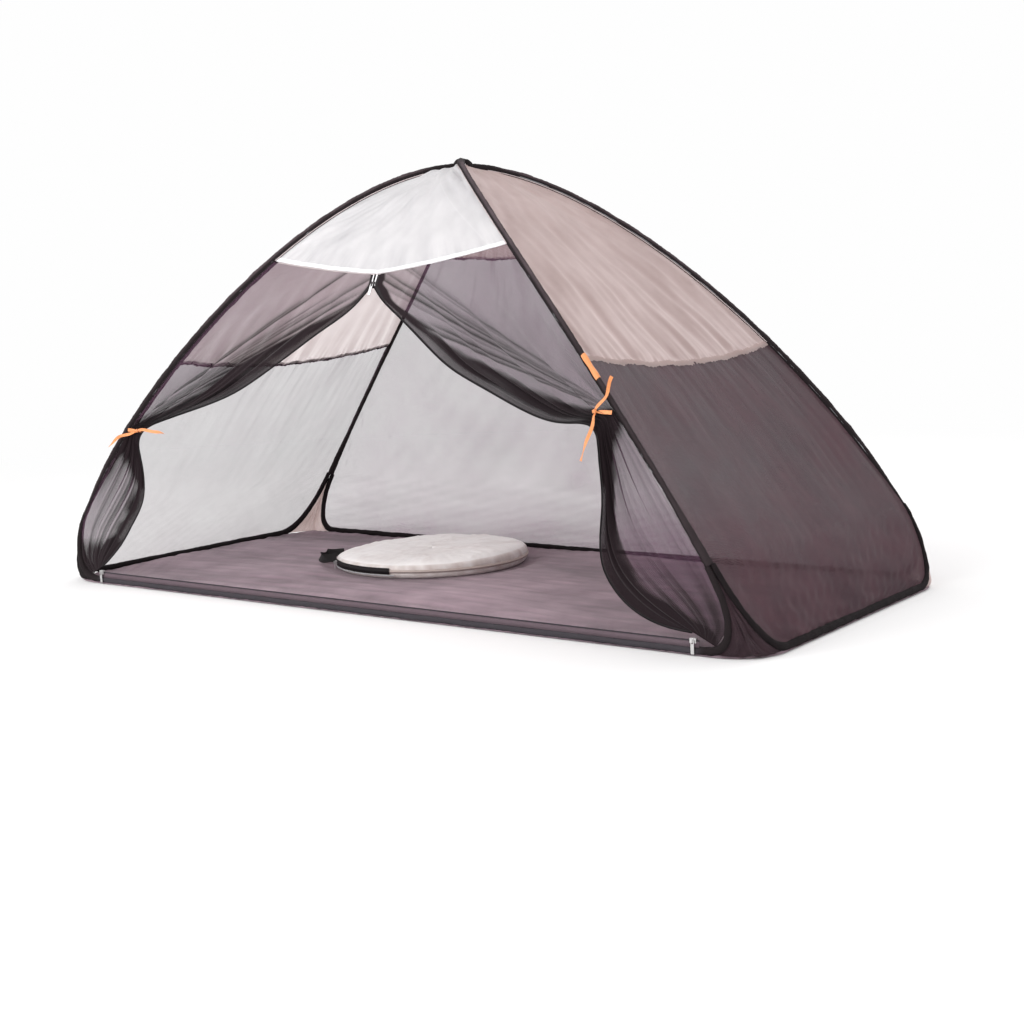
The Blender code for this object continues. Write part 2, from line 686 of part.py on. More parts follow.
def make_curtain(name, tape_name, sx, hem_row, tie):
    """Half the door's net, swept to its ridge, held there and falling again, with its tape."""
    half = hem_row if sx == LEFT else hem_row[::-1]
    half = half[:CURTAIN_COLUMNS + 1]
    free = free_edge(sx, half[-1][2])
    tied_at = ridge_edge(tie, sx, FRONT, True)
    near = np.linalg.norm(free - tied_at[[0, 2]], axis=1)
    neck = int(near.argmin())
    outer = sleeve_line(sx, tie, neck + 1, CURTAIN_STEPS + 1 - neck)
    way = unit(np.gradient(free, axis=0))
    into = np.stack((-way[:, 1], way[:, 0]), axis=1) * sx
    into[:CLOSED_STEPS + 1] = (sx, 0.0)
    narrow = ease((np.arange(CURTAIN_STEPS + 1) - CLOSED_STEPS) / CLOSED_STEPS)[:, None]
    widths = TOP_TAPE_WIDTH + (EDGE_TAPE_WIDTH - TOP_TAPE_WIDTH) * narrow
    seam = free + into * widths
    inner = seam + into * SEAM_GAP
    u = np.linspace(0.0, 1.0, CURTAIN_COLUMNS + 1)
    swing = np.where(np.arange(CURTAIN_COLUMNS + 1) % 2, 1.0, -1.0)
    swing[0] = 0.0
    swing[-1] = 0.0
    top = outer[0, 0] * (1 - u) + inner[0, 0] * u
    order = np.argsort(half[:, 0])
    hem_z = np.interp(top, half[order, 0], half[order, 2]) - SEAM_GAP - CLOTH
    belly = hem_z - (outer[0, 2] * (1 - u) + inner[0, 1] * u)
    belly[[0, -1]] = 0.0
    grid = []
    for i in range(CURTAIN_STEPS + 1):
        part = i / neck if i <= neck else (CURTAIN_STEPS - i) / (CURTAIN_STEPS - neck)
        fold = FOLD_DEPTH * ease((part - FOLD_FLAT_share) / (1 - FOLD_FLAT_share))
        x = outer[i, 0] * (1 - u) + inner[i, 0] * u
        z = outer[i, 2] * (1 - u) + inner[i, 1] * u
        if i <= neck:
            z = z + belly * (1 - part) ** 2
        y = np.array([front_depth(p, q) for p, q in zip(x, z)]) + fold * swing
        y[0] = outer[i, 1]
        grid.append(np.stack((x, y, z), axis=1))
    grid = np.array(grid)
    forward = np.broadcast_to(-ACROSS, grid.shape)
    add_object(name, [slab(grid, forward, CLOTH)], DARK_NET, 0.9)
    tape = []
    for a, b in zip(free, seam):
        tape.append([(p[0], front_depth(*p), p[1]) for p in (a, b)])
    tape = np.array(tape)
    forward = np.broadcast_to(-ACROSS, tape.shape)
    add_object(tape_name, [slab(tape, forward, CLOTH)], BLACK_CLOTH, 0.7)
    return tied_at, outer[neck + 1] - outer[neck - 1], tape[neck, 0]


def make_ribbon(name, sx, tied_at, down, free_at, tails):
    """Band round the gathered net, open at the ridge, with a knot and two hanging ends."""
    down = unit(down)
    reach = free_at - tied_at
    reach = reach - down * (reach @ down)
    width = np.linalg.norm(reach)
    across = unit(reach)
    out = unit(np.cross(down, across))
    out = out * np.sign(-out[1])
    inner = FOLD_DEPTH + HALF_CLOTH + RIBBON_CLEAR
    outer = inner + RIBBON_THICK
    end = width + RIBBON_TIP_CLEAR - inner
    arc = np.linspace(np.pi / 2, -np.pi / 2, 7)
    band = [(0.0, outer)] + [(end + outer * np.cos(a), outer * np.sin(a)) for a in arc]
    band += [(RIBBON_BACK_START, -outer), (RIBBON_BACK_START, -inner)]
    band += [(end + inner * np.cos(a), inner * np.sin(a)) for a in arc[::-1]] + [(0.0, inner)]
    flat = place([(p, 0.0, q) for p, q in band], tied_at, across, down, out)
    body = add_object(name, [prism(flat, -down * RIBBON_WIDTH / 2, down * RIBBON_WIDTH / 2)],
                      ORANGE_CLOTH, 0.5)
    knot = tied_at + across * width * KNOT_AT_share + out * (outer - RIBBON_THICK / 2)
    rings = []
    for rise, size in ((0.0, 0.7), (KNOT_HALF_DEEP, 1.0), (2 * KNOT_HALF_DEEP, 0.6)):
        rings.append(round_ring(knot + out * rise, across, down, KNOT_HALF_LONG * size, KNOT_SIDES))
    unite(body, add_object("knot", [tube(rings)], ORANGE_CLOTH, 0.5))
    for reach_x, reach_z in tails:
        way = unit((reach_x, 0.0, reach_z))
        side = np.cross(way, ACROSS)
        stop = knot + np.array((reach_x * LENGTH / 2, 0.0, reach_z * HEIGHT))
        rows = []
        for k in range(TAIL_ROWS + 1):
            part = k / TAIL_ROWS
            middle = knot * (1 - part) + stop * part
            row = []
            for edge in (-1, 1):
                p = middle + side * edge * TAIL_WIDTH / 2
                depth = front_depth(p[0], p[2]) - TAIL_OFFSET
                row.append((p[0], depth - TAIL_WAVE * np.sin(part * np.pi), p[2]))
            rows.append(row)
        rows = np.array(rows)
        forward = np.broadcast_to(-ACROSS, rows.shape)
        unite(body, add_object("tail", [slab(rows, forward, RIBBON_THICK)], ORANGE_CLOTH, 0.5))


def make_tab():
    """Blank strip sewn along the front right ridge from the end seam down."""
    frames = [ridge_frame(t, RIGHT, FRONT) for t in RIDGE_STATIONS]
    points = np.array([f[0] for f in frames])
    sides = np.array([f[2] for f in frames])
    outs = np.array([f[3] for f in frames])
    t = np.linspace(END_SEAM_share, SPLIT_share, TAB_STEPS)

    def along(values, at):
        return np.stack([np.interp(at, RIDGE_STATIONS, values[:, k]) for k in range(3)], axis=-1)

    line = along(points, t)
    reach = np.concatenate(((0.0,), np.cumsum(np.linalg.norm(np.diff(line, axis=0), axis=1))))
    stop = t[np.searchsorted(reach, TAB_LENGTH)]
    inside = [v for v in RIDGE_STATIONS if END_SEAM_share < v < stop]
    rows = []
    for v in [END_SEAM_share] + inside + [stop]:
        out = unit(along(outs, v))
        at = along(points, v) + out * (half_thick(v) + SEAM_GAP + CLOTH)
        side = along(sides, v)
        low = at - out * TAB_DROP
        rows.append([low - side * TAB_WIDTH / 2, at, low + side * TAB_WIDTH / 2])
    rows = np.array(rows)
    add_object("label_tab", [slab(rows, grid_normals(rows), CLOTH)], ORANGE_CLOTH, 0.5)


def make_floor_zip():
    """Zip half that stands on the front sleeve: a tape with its coil along the top."""
    half = FLOOR_TAPE_THICK / 2
    foot = ZIP_FOOT - ZIP_Z
    turns = np.arange(-1, COIL_SIDES - 1) * 2 * np.pi / COIL_SIDES
    coil = [(COIL_RADIUS * np.cos(a), COIL_RADIUS * np.sin(a)) for a in turns]
    outline = [(-half, foot), (half, foot), (half, coil[0][1])] + coil + [(-half, coil[0][1])]
    origin = np.array((0.0, ZIP_Y, ZIP_Z))
    flat = place([(0.0, p, q) for p, q in outline], origin, ALONG, ACROSS, UP)
    add_object("front_floor_zip", [prism(flat, -ALONG * ZIP_END_X, ALONG * ZIP_END_X)], BLACK_CLOTH,
               0.7)


def add_bridge(body, origin, pin, up, out, face):
    """Small staple on a slider's face that keeps the pull's cross bar."""
    high = BRIDGE_HALF_HEIGHT
    low = high - BRIDGE_POST
    outline = [(-high, face - BRIDGE_ROOT), (-low, face - BRIDGE_ROOT), (-low, face + BRIDGE_INNER),
               (low, face + BRIDGE_INNER), (low, face - BRIDGE_ROOT), (high, face - BRIDGE_ROOT),
               (high, face + BRIDGE_OUTER), (-high, face + BRIDGE_OUTER)]
    flat = place([(0.0, p, q) for p, q in outline], origin, pin, up, out)
    staple = prism(flat, -pin * BRIDGE_WIDTH / 2, pin * BRIDGE_WIDTH / 2)
    unite(body, add_object("staple", [staple], SILVER, 0.4, 1.0))


def make_pull(name, origin, pin, up, out, face, length):
    """Flat pull hanging from the staple by its cross bar."""
    axis = origin + out * (face + PULL_PIN_OFFSET)
    outer = [(-PULL_HALF_WIDTH, PULL_PIN_HALF), (PULL_HALF_WIDTH, PULL_PIN_HALF),
             (PULL_HALF_WIDTH, -length), (-PULL_HALF_WIDTH, -length)]
    hole = [(-PULL_HOLE_HALF, -PULL_PIN_HALF), (PULL_HOLE_HALF, -PULL_PIN_HALF),
            (PULL_HOLE_HALF, -PULL_HOLE_DEPTH), (-PULL_HOLE_HALF, -PULL_HOLE_DEPTH)]
    verts = []
    for depth in (-PULL_THICK / 2, PULL_THICK / 2):
        for loop in (outer, hole):
            verts.append(place([(p, q, depth) for p, q in loop], axis, pin, up, out))
    faces = []
    count = len(outer)
    for j in range(count):
        m = (j + 1) % count
        faces.append([j, m, count + m, count + j])
        faces.append([2 * count + m, 2 * count + j, 3 * count + j, 3 * count + m])
        faces.append([m, j, 2 * count + j, 2 * count + m])
        faces.append([count + j, count + m, 3 * count + m, 3 * count + j])
    add_object(name, [(np.concatenate(verts), faces)], SILVER, 0.35, 1.0)


def make_floor_slider(name, pull_name, x):
    """Slider clasping the floor zip's coil, open below for the tape."""
    chamber = COIL_RADIUS + SLIDER_CLEAR
    slot = FLOOR_TAPE_THICK / 2 + SLIDER_CLEAR
    deep = chamber + SLIDER_PLATE
    high = SLIDER_HALF_HEIGHT
    outline = [(-deep, -high), (-slot, -high), (-slot, -chamber), (-chamber, -chamber),
               (-chamber, chamber), (chamber, chamber), (chamber, -chamber), (slot, -chamber),
               (slot, -high), (deep, -high), (deep, high), (-deep, high)]
    origin = np.array((x, ZIP_Y, ZIP_Z))
    flat = place([(0.0, q, p) for p, q in outline], origin, ALONG, UP, -ACROSS)
    body = add_object(name, [prism(flat, -ALONG * SLIDER_LENGTH / 2, ALONG * SLIDER_LENGTH / 2)],
                      SILVER, 0.4, 1.0)
    add_bridge(body, origin, ALONG, UP, -ACROSS, deep)
    make_pull(pull_name, origin, ALONG, UP, -ACROSS, deep, PULL_LENGTH)


def make_door_slider():
    """Slider at the top of the door, with a plate on each side of the two tapes."""
    z = DOOR_TOP_share * HEIGHT
    low = np.array((0.0, front_depth(0.0, z - SLIDER_LENGTH / 2), z - SLIDER_LENGTH / 2))
    top = np.array((0.0, front_depth(0.0, z + SLIDER_LENGTH), z + SLIDER_LENGTH))
    up = unit(top - low)
    out = np.cross(ALONG, up)
    origin = np.array((0.0, front_depth(0.0, z), z))
    inner = HALF_CLOTH + SLIDER_CLEAR
    deep = inner + SLIDER_PLATE
    wide = SLIDER_HALF_WIDE
    post = SLIDER_POST / 2
    outline = [(-wide, -deep), (wide, -deep), (wide, -inner), (post, -inner), (post, inner),
               (wide, inner), (wide, deep), (-wide, deep), (-wide, inner), (-post, inner),
               (-post, -inner), (-wide, -inner)]
    flat = place([(p, 0.0, q) for p, q in outline], origin, ALONG, up, out)
    body = add_object("door_top_slider",
                      [prism(flat, -up * SLIDER_LENGTH / 2, up * SLIDER_LENGTH / 2)],
                      SILVER, 0.4, 1.0)
    add_bridge(body, origin, ALONG, up, out, deep)
    make_pull("door_top_pull", origin, ALONG, up, out, deep, PULL_LENGTH)


def bag_ring_point(step, radius, z):
    """Point round the bag, in steps of its segments."""
    angle = 2 * np.pi * step / BAG_SEGMENTS
    return BAG_CENTRE + np.array((radius * np.cos(angle), radius * np.sin(angle), z))


def make_bag():
    """Flat round bag with an eased rim, its zip, slider, pull and webbing handle."""
    verts = [BAG_CENTRE]
    for r, h in BAG_PROFILE_shares:
        dome = BAG_TOP_DOME * (1 - r * r) if h > 1 / 2 else 0.0
        for k in range(BAG_SEGMENTS):
            verts.append(bag_ring_point(k, BAG_RADIUS * r, BAG_THICK * h + dome))
    verts.append(BAG_CENTRE + UP * (BAG_THICK + BAG_TOP_DOME))
    faces = []
    rings = len(BAG_PROFILE_shares)
    for k in range(BAG_SEGMENTS):
        m = (k + 1) % BAG_SEGMENTS
        faces.append([0, 1 + m, 1 + k])
        for i in range(rings - 1):
            a = 1 + i * BAG_SEGMENTS
            b = a + BAG_SEGMENTS
            faces.append([a + k, a + m, b + m, b + k])
        a = 1 + (rings - 1) * BAG_SEGMENTS
        faces.append([a + k, a + m, len(verts) - 1])
    add_object("storage_bag", [(np.array(verts), faces)], WHITE_CLOTH, 0.8)

    middle = BAG_THICK / 2
    inner = BAG_RADIUS + SEAM_GAP
    face = inner + CLOTH
    profile = [(inner, -BAG_ZIP_HALF), (face, -BAG_ZIP_HALF), (face, -BAG_COIL_HALF),
               (face + BAG_COIL_RISE, -BAG_COIL_HALF), (face + BAG_COIL_RISE, BAG_COIL_HALF),
               (face, BAG_COIL_HALF), (face, BAG_ZIP_HALF), (inner, BAG_ZIP_HALF)]
    rings = []
    for k in range(BAG_ZIP_START, BAG_ZIP_END + 1):
        rings.append([bag_ring_point(k, r, middle + h) for r, h in profile])
    add_object("bag_zip", [tube(rings)], BLACK_CLOTH, 0.7)

    origin = bag_ring_point(BAG_SLIDER_AT, face + SLIDER_CLEAR, middle)
    out = unit(bag_ring_point(BAG_SLIDER_AT, BAG_RADIUS, 0.0) - BAG_CENTRE)
    pin = np.cross(UP, out)
    deep = BAG_SLIDER_DEPTH
    groove = BAG_COIL_RISE
    high = SLIDER_HALF_HEIGHT
    slot = BAG_COIL_HALF + SLIDER_CLEAR
    outline = [(0.0, -high), (0.0, -slot), (groove, -slot), (groove, slot), (0.0, slot),
               (0.0, high), (deep, high), (deep, -high)]
    flat = place([(0.0, q, p) for p, q in outline], origin, pin, UP, out)
    half = BAG_SLIDER_LENGTH / 2
    body = add_object("bag_slider", [prism(flat, -pin * half, pin * half)], SILVER, 0.4, 1.0)
    add_bridge(body, origin, pin, UP, out, deep)
    make_pull("bag_pull", origin, pin, UP, out, deep, BAG_PULL_LENGTH)

    path = []
    for step, share in HANDLE_REACH_shares:
        path.append(bag_ring_point(step, inner + HANDLE_REACH * share, middle))
    path = np.array(path)
    grid = np.stack((path - UP * HANDLE_WIDTH / 2, path + UP * HANDLE_WIDTH / 2), axis=1)
    add_object("bag_handle", [slab(grid, grid_normals(grid), HANDLE_THICK)], BLACK_CLOTH, 0.8)


def build():
    """The whole tent."""
    fl, fr, br, bl = CORNERS
    read_door_lines()
    corners = np.array([(x * HALF_LENGTH, y * HALF_WIDTH, 0.0) for x, y in CORNERS])
    add_object("floor_sheet", [prism(corners, UP * 0.0, UP * FLOOR_TOP)], GREY_CLOTH, 0.8)
    make_wire("side_wire_loop", ((fl, fr), (bl, br)), True)
    make_wire("end_wire_loop", ((fl, bl), (fr, br)), False)
    make_ridge_sleeve("ridge_sleeve_lower", fl, br)
    make_ridge_sleeve("ridge_sleeve_upper", fr, bl)
    make_apex_strap()
    make_bottom_sleeve("bottom_sleeve_front", fl, fr, True)
    make_bottom_sleeve("bottom_sleeve_back", bl, br, True)
    make_bottom_sleeve("bottom_sleeve_left", fl, bl, False)
    make_bottom_sleeve("bottom_sleeve_right", fr, br, False)
    make_gusset("gusset_front_left", *fl, BLACK_CLOTH)
    make_gusset("gusset_front_right", *fr, BLACK_CLOTH)
    make_gusset("gusset_back_right", *br, BEIGE_CLOTH)
    make_gusset("gusset_back_left", *bl, BEIGE_CLOTH)
    roof = panel_grid(fl, fr, True, HEM_ROW, FRONT_BELLY_share, 0.0, FRONT_COLUMNS, False,
                      HEM_POWER)
    add_object("roof_front", [slab(roof, grid_normals(roof), CLOTH)], WHITE_CLOTH, 0.7)
    make_wall("back", bl, br, True, HEM_ROW, BACK_BELLY_share, BACK_SAG, BACK_COLUMNS, LIGHT_NET)
    make_wall("left", fl, bl, False, END_SEAM_ROW, END_BELLY_share, END_SAG, END_COLUMNS, DARK_NET)
    make_wall("right", fr, br, False, END_SEAM_ROW, END_BELLY_share, END_SAG, END_COLUMNS, DARK_NET)
    held = make_curtain("door_net_left", "door_zip_left", LEFT, roof[-1], TIE_LEFT_share)
    make_ribbon("tie_ribbon_left", LEFT, *held, LEFT_TAIL_shares)
    held = make_curtain("door_net_right", "door_zip_right", RIGHT, roof[-1], TIE_RIGHT_share)
    make_ribbon("tie_ribbon_right", RIGHT, *held, RIGHT_TAIL_shares)
    make_floor_zip()
    make_door_slider()
    make_floor_slider("left_slider", "left_pull", -SLIDER_X)
    make_floor_slider("right_slider", "right_pull", SLIDER_X)
    make_tab()
    make_bag()


build()
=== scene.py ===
import bpy
import numpy as np
from mathutils import Matrix


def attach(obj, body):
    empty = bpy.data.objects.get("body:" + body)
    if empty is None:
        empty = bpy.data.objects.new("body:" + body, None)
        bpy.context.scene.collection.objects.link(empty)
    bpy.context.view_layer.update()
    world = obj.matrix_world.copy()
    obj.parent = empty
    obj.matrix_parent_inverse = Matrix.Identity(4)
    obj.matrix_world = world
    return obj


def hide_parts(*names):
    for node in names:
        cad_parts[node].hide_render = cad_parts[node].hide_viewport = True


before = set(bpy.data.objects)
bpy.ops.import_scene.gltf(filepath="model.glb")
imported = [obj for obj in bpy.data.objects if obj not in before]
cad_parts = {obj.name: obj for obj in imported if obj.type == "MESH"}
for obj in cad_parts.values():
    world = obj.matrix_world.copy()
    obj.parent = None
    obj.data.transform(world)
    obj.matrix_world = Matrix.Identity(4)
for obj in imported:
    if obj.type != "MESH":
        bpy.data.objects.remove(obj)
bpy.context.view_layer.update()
print("frame loaded")

# the tent's own sizes, in metres, as the solids have them
tent = dict(halfLength=1.0, halfWidth=0.45, height=1.008, floorTop=0.002, gap=0.0003,
            upperTop=1.00125, lowerTop=0.98995, split=0.86,
            ridgeHalfWidth=0.0115, ridgeHalfThick=0.00525, lane=0.006,
            singleRadius=0.0056, bottomRadius=0.008, runLong=0.88, runShort=0.33,
            bendDrop=0.085, bendReach=0.075, swell=0.35, panelTop=0.045,
            hemShare=0.365, endSeam=0.57, narrowing=0.0029, rounding=0.00275,
            seat=0.0009, sinkShare=0.9, tuckShare=0.6)
tent["runZ"] = tent["floorTop"] + tent["gap"] + tent["bottomRadius"]
tent["runX"] = tent["halfLength"] - tent["bottomRadius"]
tent["runY"] = tent["halfWidth"] - tent["bottomRadius"]
left, right, front, back = -1, 1, -1, 1
up = np.array((0.0, 0.0, 1.0))
alongX = np.array((1.0, 0.0, 0.0))
acrossY = np.array((0.0, 1.0, 0.0))


def unit(v):
    # each vector divided by its own length
    return v / np.maximum(np.linalg.norm(v, axis=-1, keepdims=True), 1e-12)


def ease(x):
    # smooth step 3x^2 - 2x^3 between 0 and 1
    x = np.clip(x, 0.0, 1.0)
    return x * x * (3 - 2 * x)


def cubic(points, t):
    # cubic curve: sum of the four control points times (1-t)^3, 3(1-t)^2 t, 3(1-t)t^2, t^3, and its slope
    t = np.asarray(t, float)[..., None]
    p0, p1, p2, p3 = (np.asarray(p, float) for p in points)
    k = 1 - t
    at = k ** 3 * p0 + 3 * k * k * t * p1 + 3 * k * t * t * p2 + t ** 3 * p3
    way = k * k * (p1 - p0) + 2 * k * t * (p2 - p1) + t * t * (p3 - p2)
    return at, unit(way)


def ridgeFrame(t, sx, sy):
    # ridge from apex to corner: a cubic curve, with its side toward the long wall and its outward face
    top = tent["lowerTop"] if sx * sy > 0 else tent["upperTop"]
    shape = ((0.0, 0.0, 1.0), (0.20, 0.74, 1.0), (0.81, 1.09, 0.40), (1.0, 1.0, 0.0))
    points = [(sx * tent["halfLength"] * x, sy * tent["halfWidth"] * y, top * z) for x, y, z in shape]
    at, down = cubic(points, t)
    share = np.asarray(t, float)[..., None]
    outward = (1 - share) * up + share * unit(np.array((sx, sy, 0.0)))
    side = unit(np.cross(down, outward)) * (-sx * sy)
    out = unit(np.cross(side, down)) * (-sx * sy)
    return at, down, side, out


def bendRadius(s):
    # sleeve radius eases from the ridge end's to the floor run's
    grow = ease((s - tent["swell"]) / (1 - tent["swell"]))
    return tent["singleRadius"] + (tent["bottomRadius"] - tent["singleRadius"]) * grow


def bendLook(s):
    # the cloth round the bend hangs a little looser than the wire's tube
    return bendRadius(s) + 0.0007 * ease(s / 0.12) * ease((1 - s) / 0.25)


def bendFrame(s, sx, sy, longSide):
    # one wire's bend: a cubic curve from the ridge's end to the floor run, with the way to its panel
    s = np.asarray(s, float)
    at, down, side, out = ridgeFrame(tent["split"], sx, sy)
    start = at + side * (tent["lane"] if longSide else -tent["lane"])
    if longSide:
        end = np.array((sx * tent["runLong"], sy * tent["runY"], tent["runZ"]))
        handle = end + sx * tent["bendReach"] * alongX
        axis, inward = acrossY, np.array((-sx, 0.0, 1.0))
    else:
        end = np.array((sx * tent["runX"], sy * tent["runShort"], tent["runZ"]))
        handle = end + sy * tent["bendReach"] * acrossY
        axis, inward = alongX, np.array((0.0, -sy, 1.0))
    centre, way = cubic((start, start + down * tent["bendDrop"], handle, end), s)
    flat = unit(np.cross(way, axis))
    flat = flat * np.sign(flat @ inward)[..., None]
    k = ease(s / tent["swell"])[..., None]
    toward = (side if longSide else -side) * (1 - k) + flat * k
    toward = unit(toward - way * (toward * way).sum(-1, keepdims=True))
    return centre, way, toward, unit(np.cross(way, toward))


def pinch(t):
    # how far a ridge sleeve has closed into a round tube: 0 at the apex and the split, 1 between
    return ease((t - tent["panelTop"]) / 0.10) * ease((tent["split"] - t) / 0.12)


def halfWidth(t):
    # half the solid sleeve's width: the flat one's less narrowing * pinch
    return tent["ridgeHalfWidth"] - tent["narrowing"] * pinch(t)


def halfThick(t):
    # half its thickness: the flat one's plus rounding * pinch
    return tent["ridgeHalfThick"] + tent["rounding"] * pinch(t)


def edgeLine(q, sx, sy, longSide, tuck=0.0):
    # a panel's edge: q 0 to 1 runs down the ridge to its end, q 1 to 2 round the corner bend;
    # tuck is how far it reaches in under the sleeve
    q = np.asarray(q, float)
    t = np.clip(q, 0, 1) * tent["split"]
    reach = (halfWidth(t) + tent["seat"] - tuck)[..., None]
    at, down, side, out = ridgeFrame(t, sx, sy)
    sink = tent["sinkShare"] * tuck * ease((tent["split"] - t) / 0.1)[..., None]
    ridge = at + side * (reach if longSide else -reach) - out * sink
    s = np.clip(q - 1, 0, 1)
    centre, way, toward, across = bendFrame(s, sx, sy, longSide)
    radius = (bendRadius(s) + tent["seat"] - tent["tuckShare"] * tuck)[..., None]
    blend = ease((q - 1) / 0.12 + 0.5)[..., None]
    return ridge * (1 - blend) + (centre + toward * radius) * blend


def wander(x, y, seed, octaves=4, rough=0.5):
    # smooth wrinkles: a seeded sum of turned sine waves, each octave twice as fine and rough times as high
    rng = np.random.default_rng(seed)
    total = np.zeros(np.broadcast(x, y).shape)
    for k in range(octaves):
        for turn in range(3):
            angle, phase = rng.uniform(0, np.pi), rng.uniform(0, 2 * np.pi)
            total += rough ** k * np.sin(2 ** k * (x * np.cos(angle) + y * np.sin(angle)) + phase) / 3
    return total


def gridNormals(grid):
    # cross product of the steps along a row and along a column, divided by its length
    return unit(np.cross(np.gradient(grid, axis=1), np.gradient(grid, axis=0)))


def quads(rows, cols, closed):
    # corner numbers of every cell of a grid, whose last column joins the first where it is closed
    i = np.arange(rows - 1)[:, None]
    j = np.arange(cols if closed else cols - 1)[None, :]
    i, j, k, m = np.broadcast_arrays(i, j, i + 1, (j + 1) % cols)
    return np.stack((i * cols + j, i * cols + m, k * cols + m, k * cols + j), -1).reshape(-1, 4)


def addObject(name, data):
    # a new object in the scene that holds this mesh, lamp or camera
    made = bpy.data.objects.new(name, data)
    bpy.context.scene.collection.objects.link(made)
    return made


def makePiece(name, parts, material, body="tent", node=None):
    # one mesh from its parts, each (points, uv in metres, closed round or not, capped or not, mark)
    verts, faces, uvs, marks, tails, base = [], [], [], [], [], 0
    for grid, uv, closed, capped, mark in parts:
        rows, cols = grid.shape[:2]
        verts.append(grid.reshape(-1, 3))
        faces.append(quads(rows, cols, closed) + base)
        uvs.append(uv.reshape(-1, 2))
        marks.append(np.zeros(rows * cols) if mark is None else mark.reshape(-1))
        if capped:
            tails.append([base + j for j in range(cols)][::-1])
            tails.append([base + (rows - 1) * cols + j for j in range(cols)])
        base += rows * cols
    verts, faces = np.concatenate(verts), np.concatenate(faces)
    uvs, marks = np.concatenate(uvs), np.concatenate(marks)
    mesh = bpy.data.meshes.new(name)
    mesh.from_pydata(verts.tolist(), [], faces.tolist() + tails)
    layer = mesh.uv_layers.new(name="cloth")
    corner = np.zeros(len(mesh.loops), np.int32)
    mesh.loops.foreach_get("vertex_index", corner)
    layer.data.foreach_set("uv", uvs[corner].astype(np.float32).ravel())
    held = mesh.attributes.new("gather", "FLOAT", "POINT")
    held.data.foreach_set("value", marks.astype(np.float32))
    mesh.polygons.foreach_set("use_smooth", np.ones(len(mesh.polygons), bool))
    mesh.materials.append(material)
    mesh.update()
    made = addObject(name, mesh)
    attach(made, body)
    if node:
        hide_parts(node)
    return made


def flatUv(grid):
    # distances along the rows and columns of a grid, in metres, used as its uv
    across = np.linalg.norm(np.diff(grid, axis=1), axis=-1)
    along = np.linalg.norm(np.diff(grid, axis=0), axis=-1)
    u = np.concatenate((np.zeros((grid.shape[0], 1)), np.cumsum(across, 1)), 1)
    v = np.concatenate((np.zeros((1, grid.shape[1])), np.cumsum(along, 0)), 0)
    u = u - u.mean(1, keepdims=True)
    v = np.broadcast_to(v.mean(1, keepdims=True), v.shape)
    return np.stack((u, v), -1)


def unitGrid(rows, cols):
    # v down the rows and u along the columns, both from 0 to 1
    return np.broadcast_arrays(np.linspace(0, 1, rows)[:, None], np.linspace(0, 1, cols)[None, :])


def openPart(grid, mark=None, uv=None):
    # a sheet with open edges, on its own flat uv where none is given
    return (grid, flatUv(grid) if uv is None else uv, False, False, mark)


def gridOf(*ways):
    # a grid of points or uv from values for its columns, its rows or both
    return np.stack(np.broadcast_arrays(*ways), -1)


def runLength(points):
    # length from the first point to each: running sum of the steps
    return np.concatenate(((0.0,), np.cumsum(np.linalg.norm(np.diff(points, axis=0), axis=1))))


def tubePart(centre, side, out, halfWide, halfDeep, count, rumple=0.0, seed=1):
    # oval carried along a path: centre + side * halfWide * cos(a) + out * halfDeep * sin(a),
    # both puckered by seeded waves
    a = np.linspace(0, 2 * np.pi, count, endpoint=False)
    run = runLength(centre)
    puff = 1 + rumple * wander(run[:, None] * 90, np.cos(a)[None] * 1.5 + np.sin(2 * a)[None], seed, 4, 0.75)
    wide = np.broadcast_to(np.asarray(halfWide), run.shape)[:, None] * puff
    thick = np.broadcast_to(np.asarray(halfDeep), run.shape)[:, None] * puff
    grid = (centre[:, None] + side[:, None] * (wide * np.cos(a))[..., None]
            + out[:, None] * (thick * np.sin(a))[..., None])
    return (grid, gridOf(a[None] * np.mean(halfWide), run[:, None]), True, True, None)


# materials
threadHeight = 0.0004


def colour(hexText):
    # sRGB hex to linear: c / 12.92 up to 0.04045, ((c + 0.055) / 1.055)^2.4 above
    c = np.array([int(hexText[k:k + 2], 16) / 255 for k in (0, 2, 4)])
    c = np.where(c <= 0.04045, c / 12.92, ((c + 0.055) / 1.055) ** 2.4)
    return (*c.tolist(), 1.0)


def addNode(tree, kind, settings=None, links=None):
    # a node with its settings and its incoming links
    made = tree.nodes.new(kind)
    for key, value in (settings or {}).items():
        if isinstance(key, int) or key in made.inputs.keys():
            made.inputs[key].default_value = value
        else:
            setattr(made, key, value)
    for key, source in (links or {}).items():
        tree.links.new(source, made.inputs[key])
    return made


def startMaterial(name):
    # an empty material with one shader on its output
    made = bpy.data.materials.new(name)
    made.use_nodes = True
    tree = made.node_tree
    tree.nodes.clear()
    shader = addNode(tree, "ShaderNodeBsdfPrincipled")
    addNode(tree, "ShaderNodeOutputMaterial", links={"Surface": shader.outputs[0]})
    return made, tree, shader


def setInputs(shader, values):
    # plain values for the shader's inputs
    for key, value in values.items():
        shader.inputs[key].default_value = value


def showShader(tree, shader):
    # the material's output takes this shader in place of its first
    last = next(n for n in tree.nodes if n.type == "OUTPUT_MATERIAL")
    tree.links.new(shader.outputs[0], last.inputs["Surface"])


def noise(tree, scale, detail, rough=0.5):
    # slow drift over the object's own coordinates
    return addNode(tree, "ShaderNodeTexNoise", {"Scale": scale, "Detail": detail, "Roughness": rough},
                   {"Vector": addNode(tree, "ShaderNodeTexCoord").outputs["Object"]})


def gatherMark(tree):
    # the mark that makePiece keeps on each point
    return addNode(tree, "ShaderNodeAttribute", {"attribute_name": "gather"})


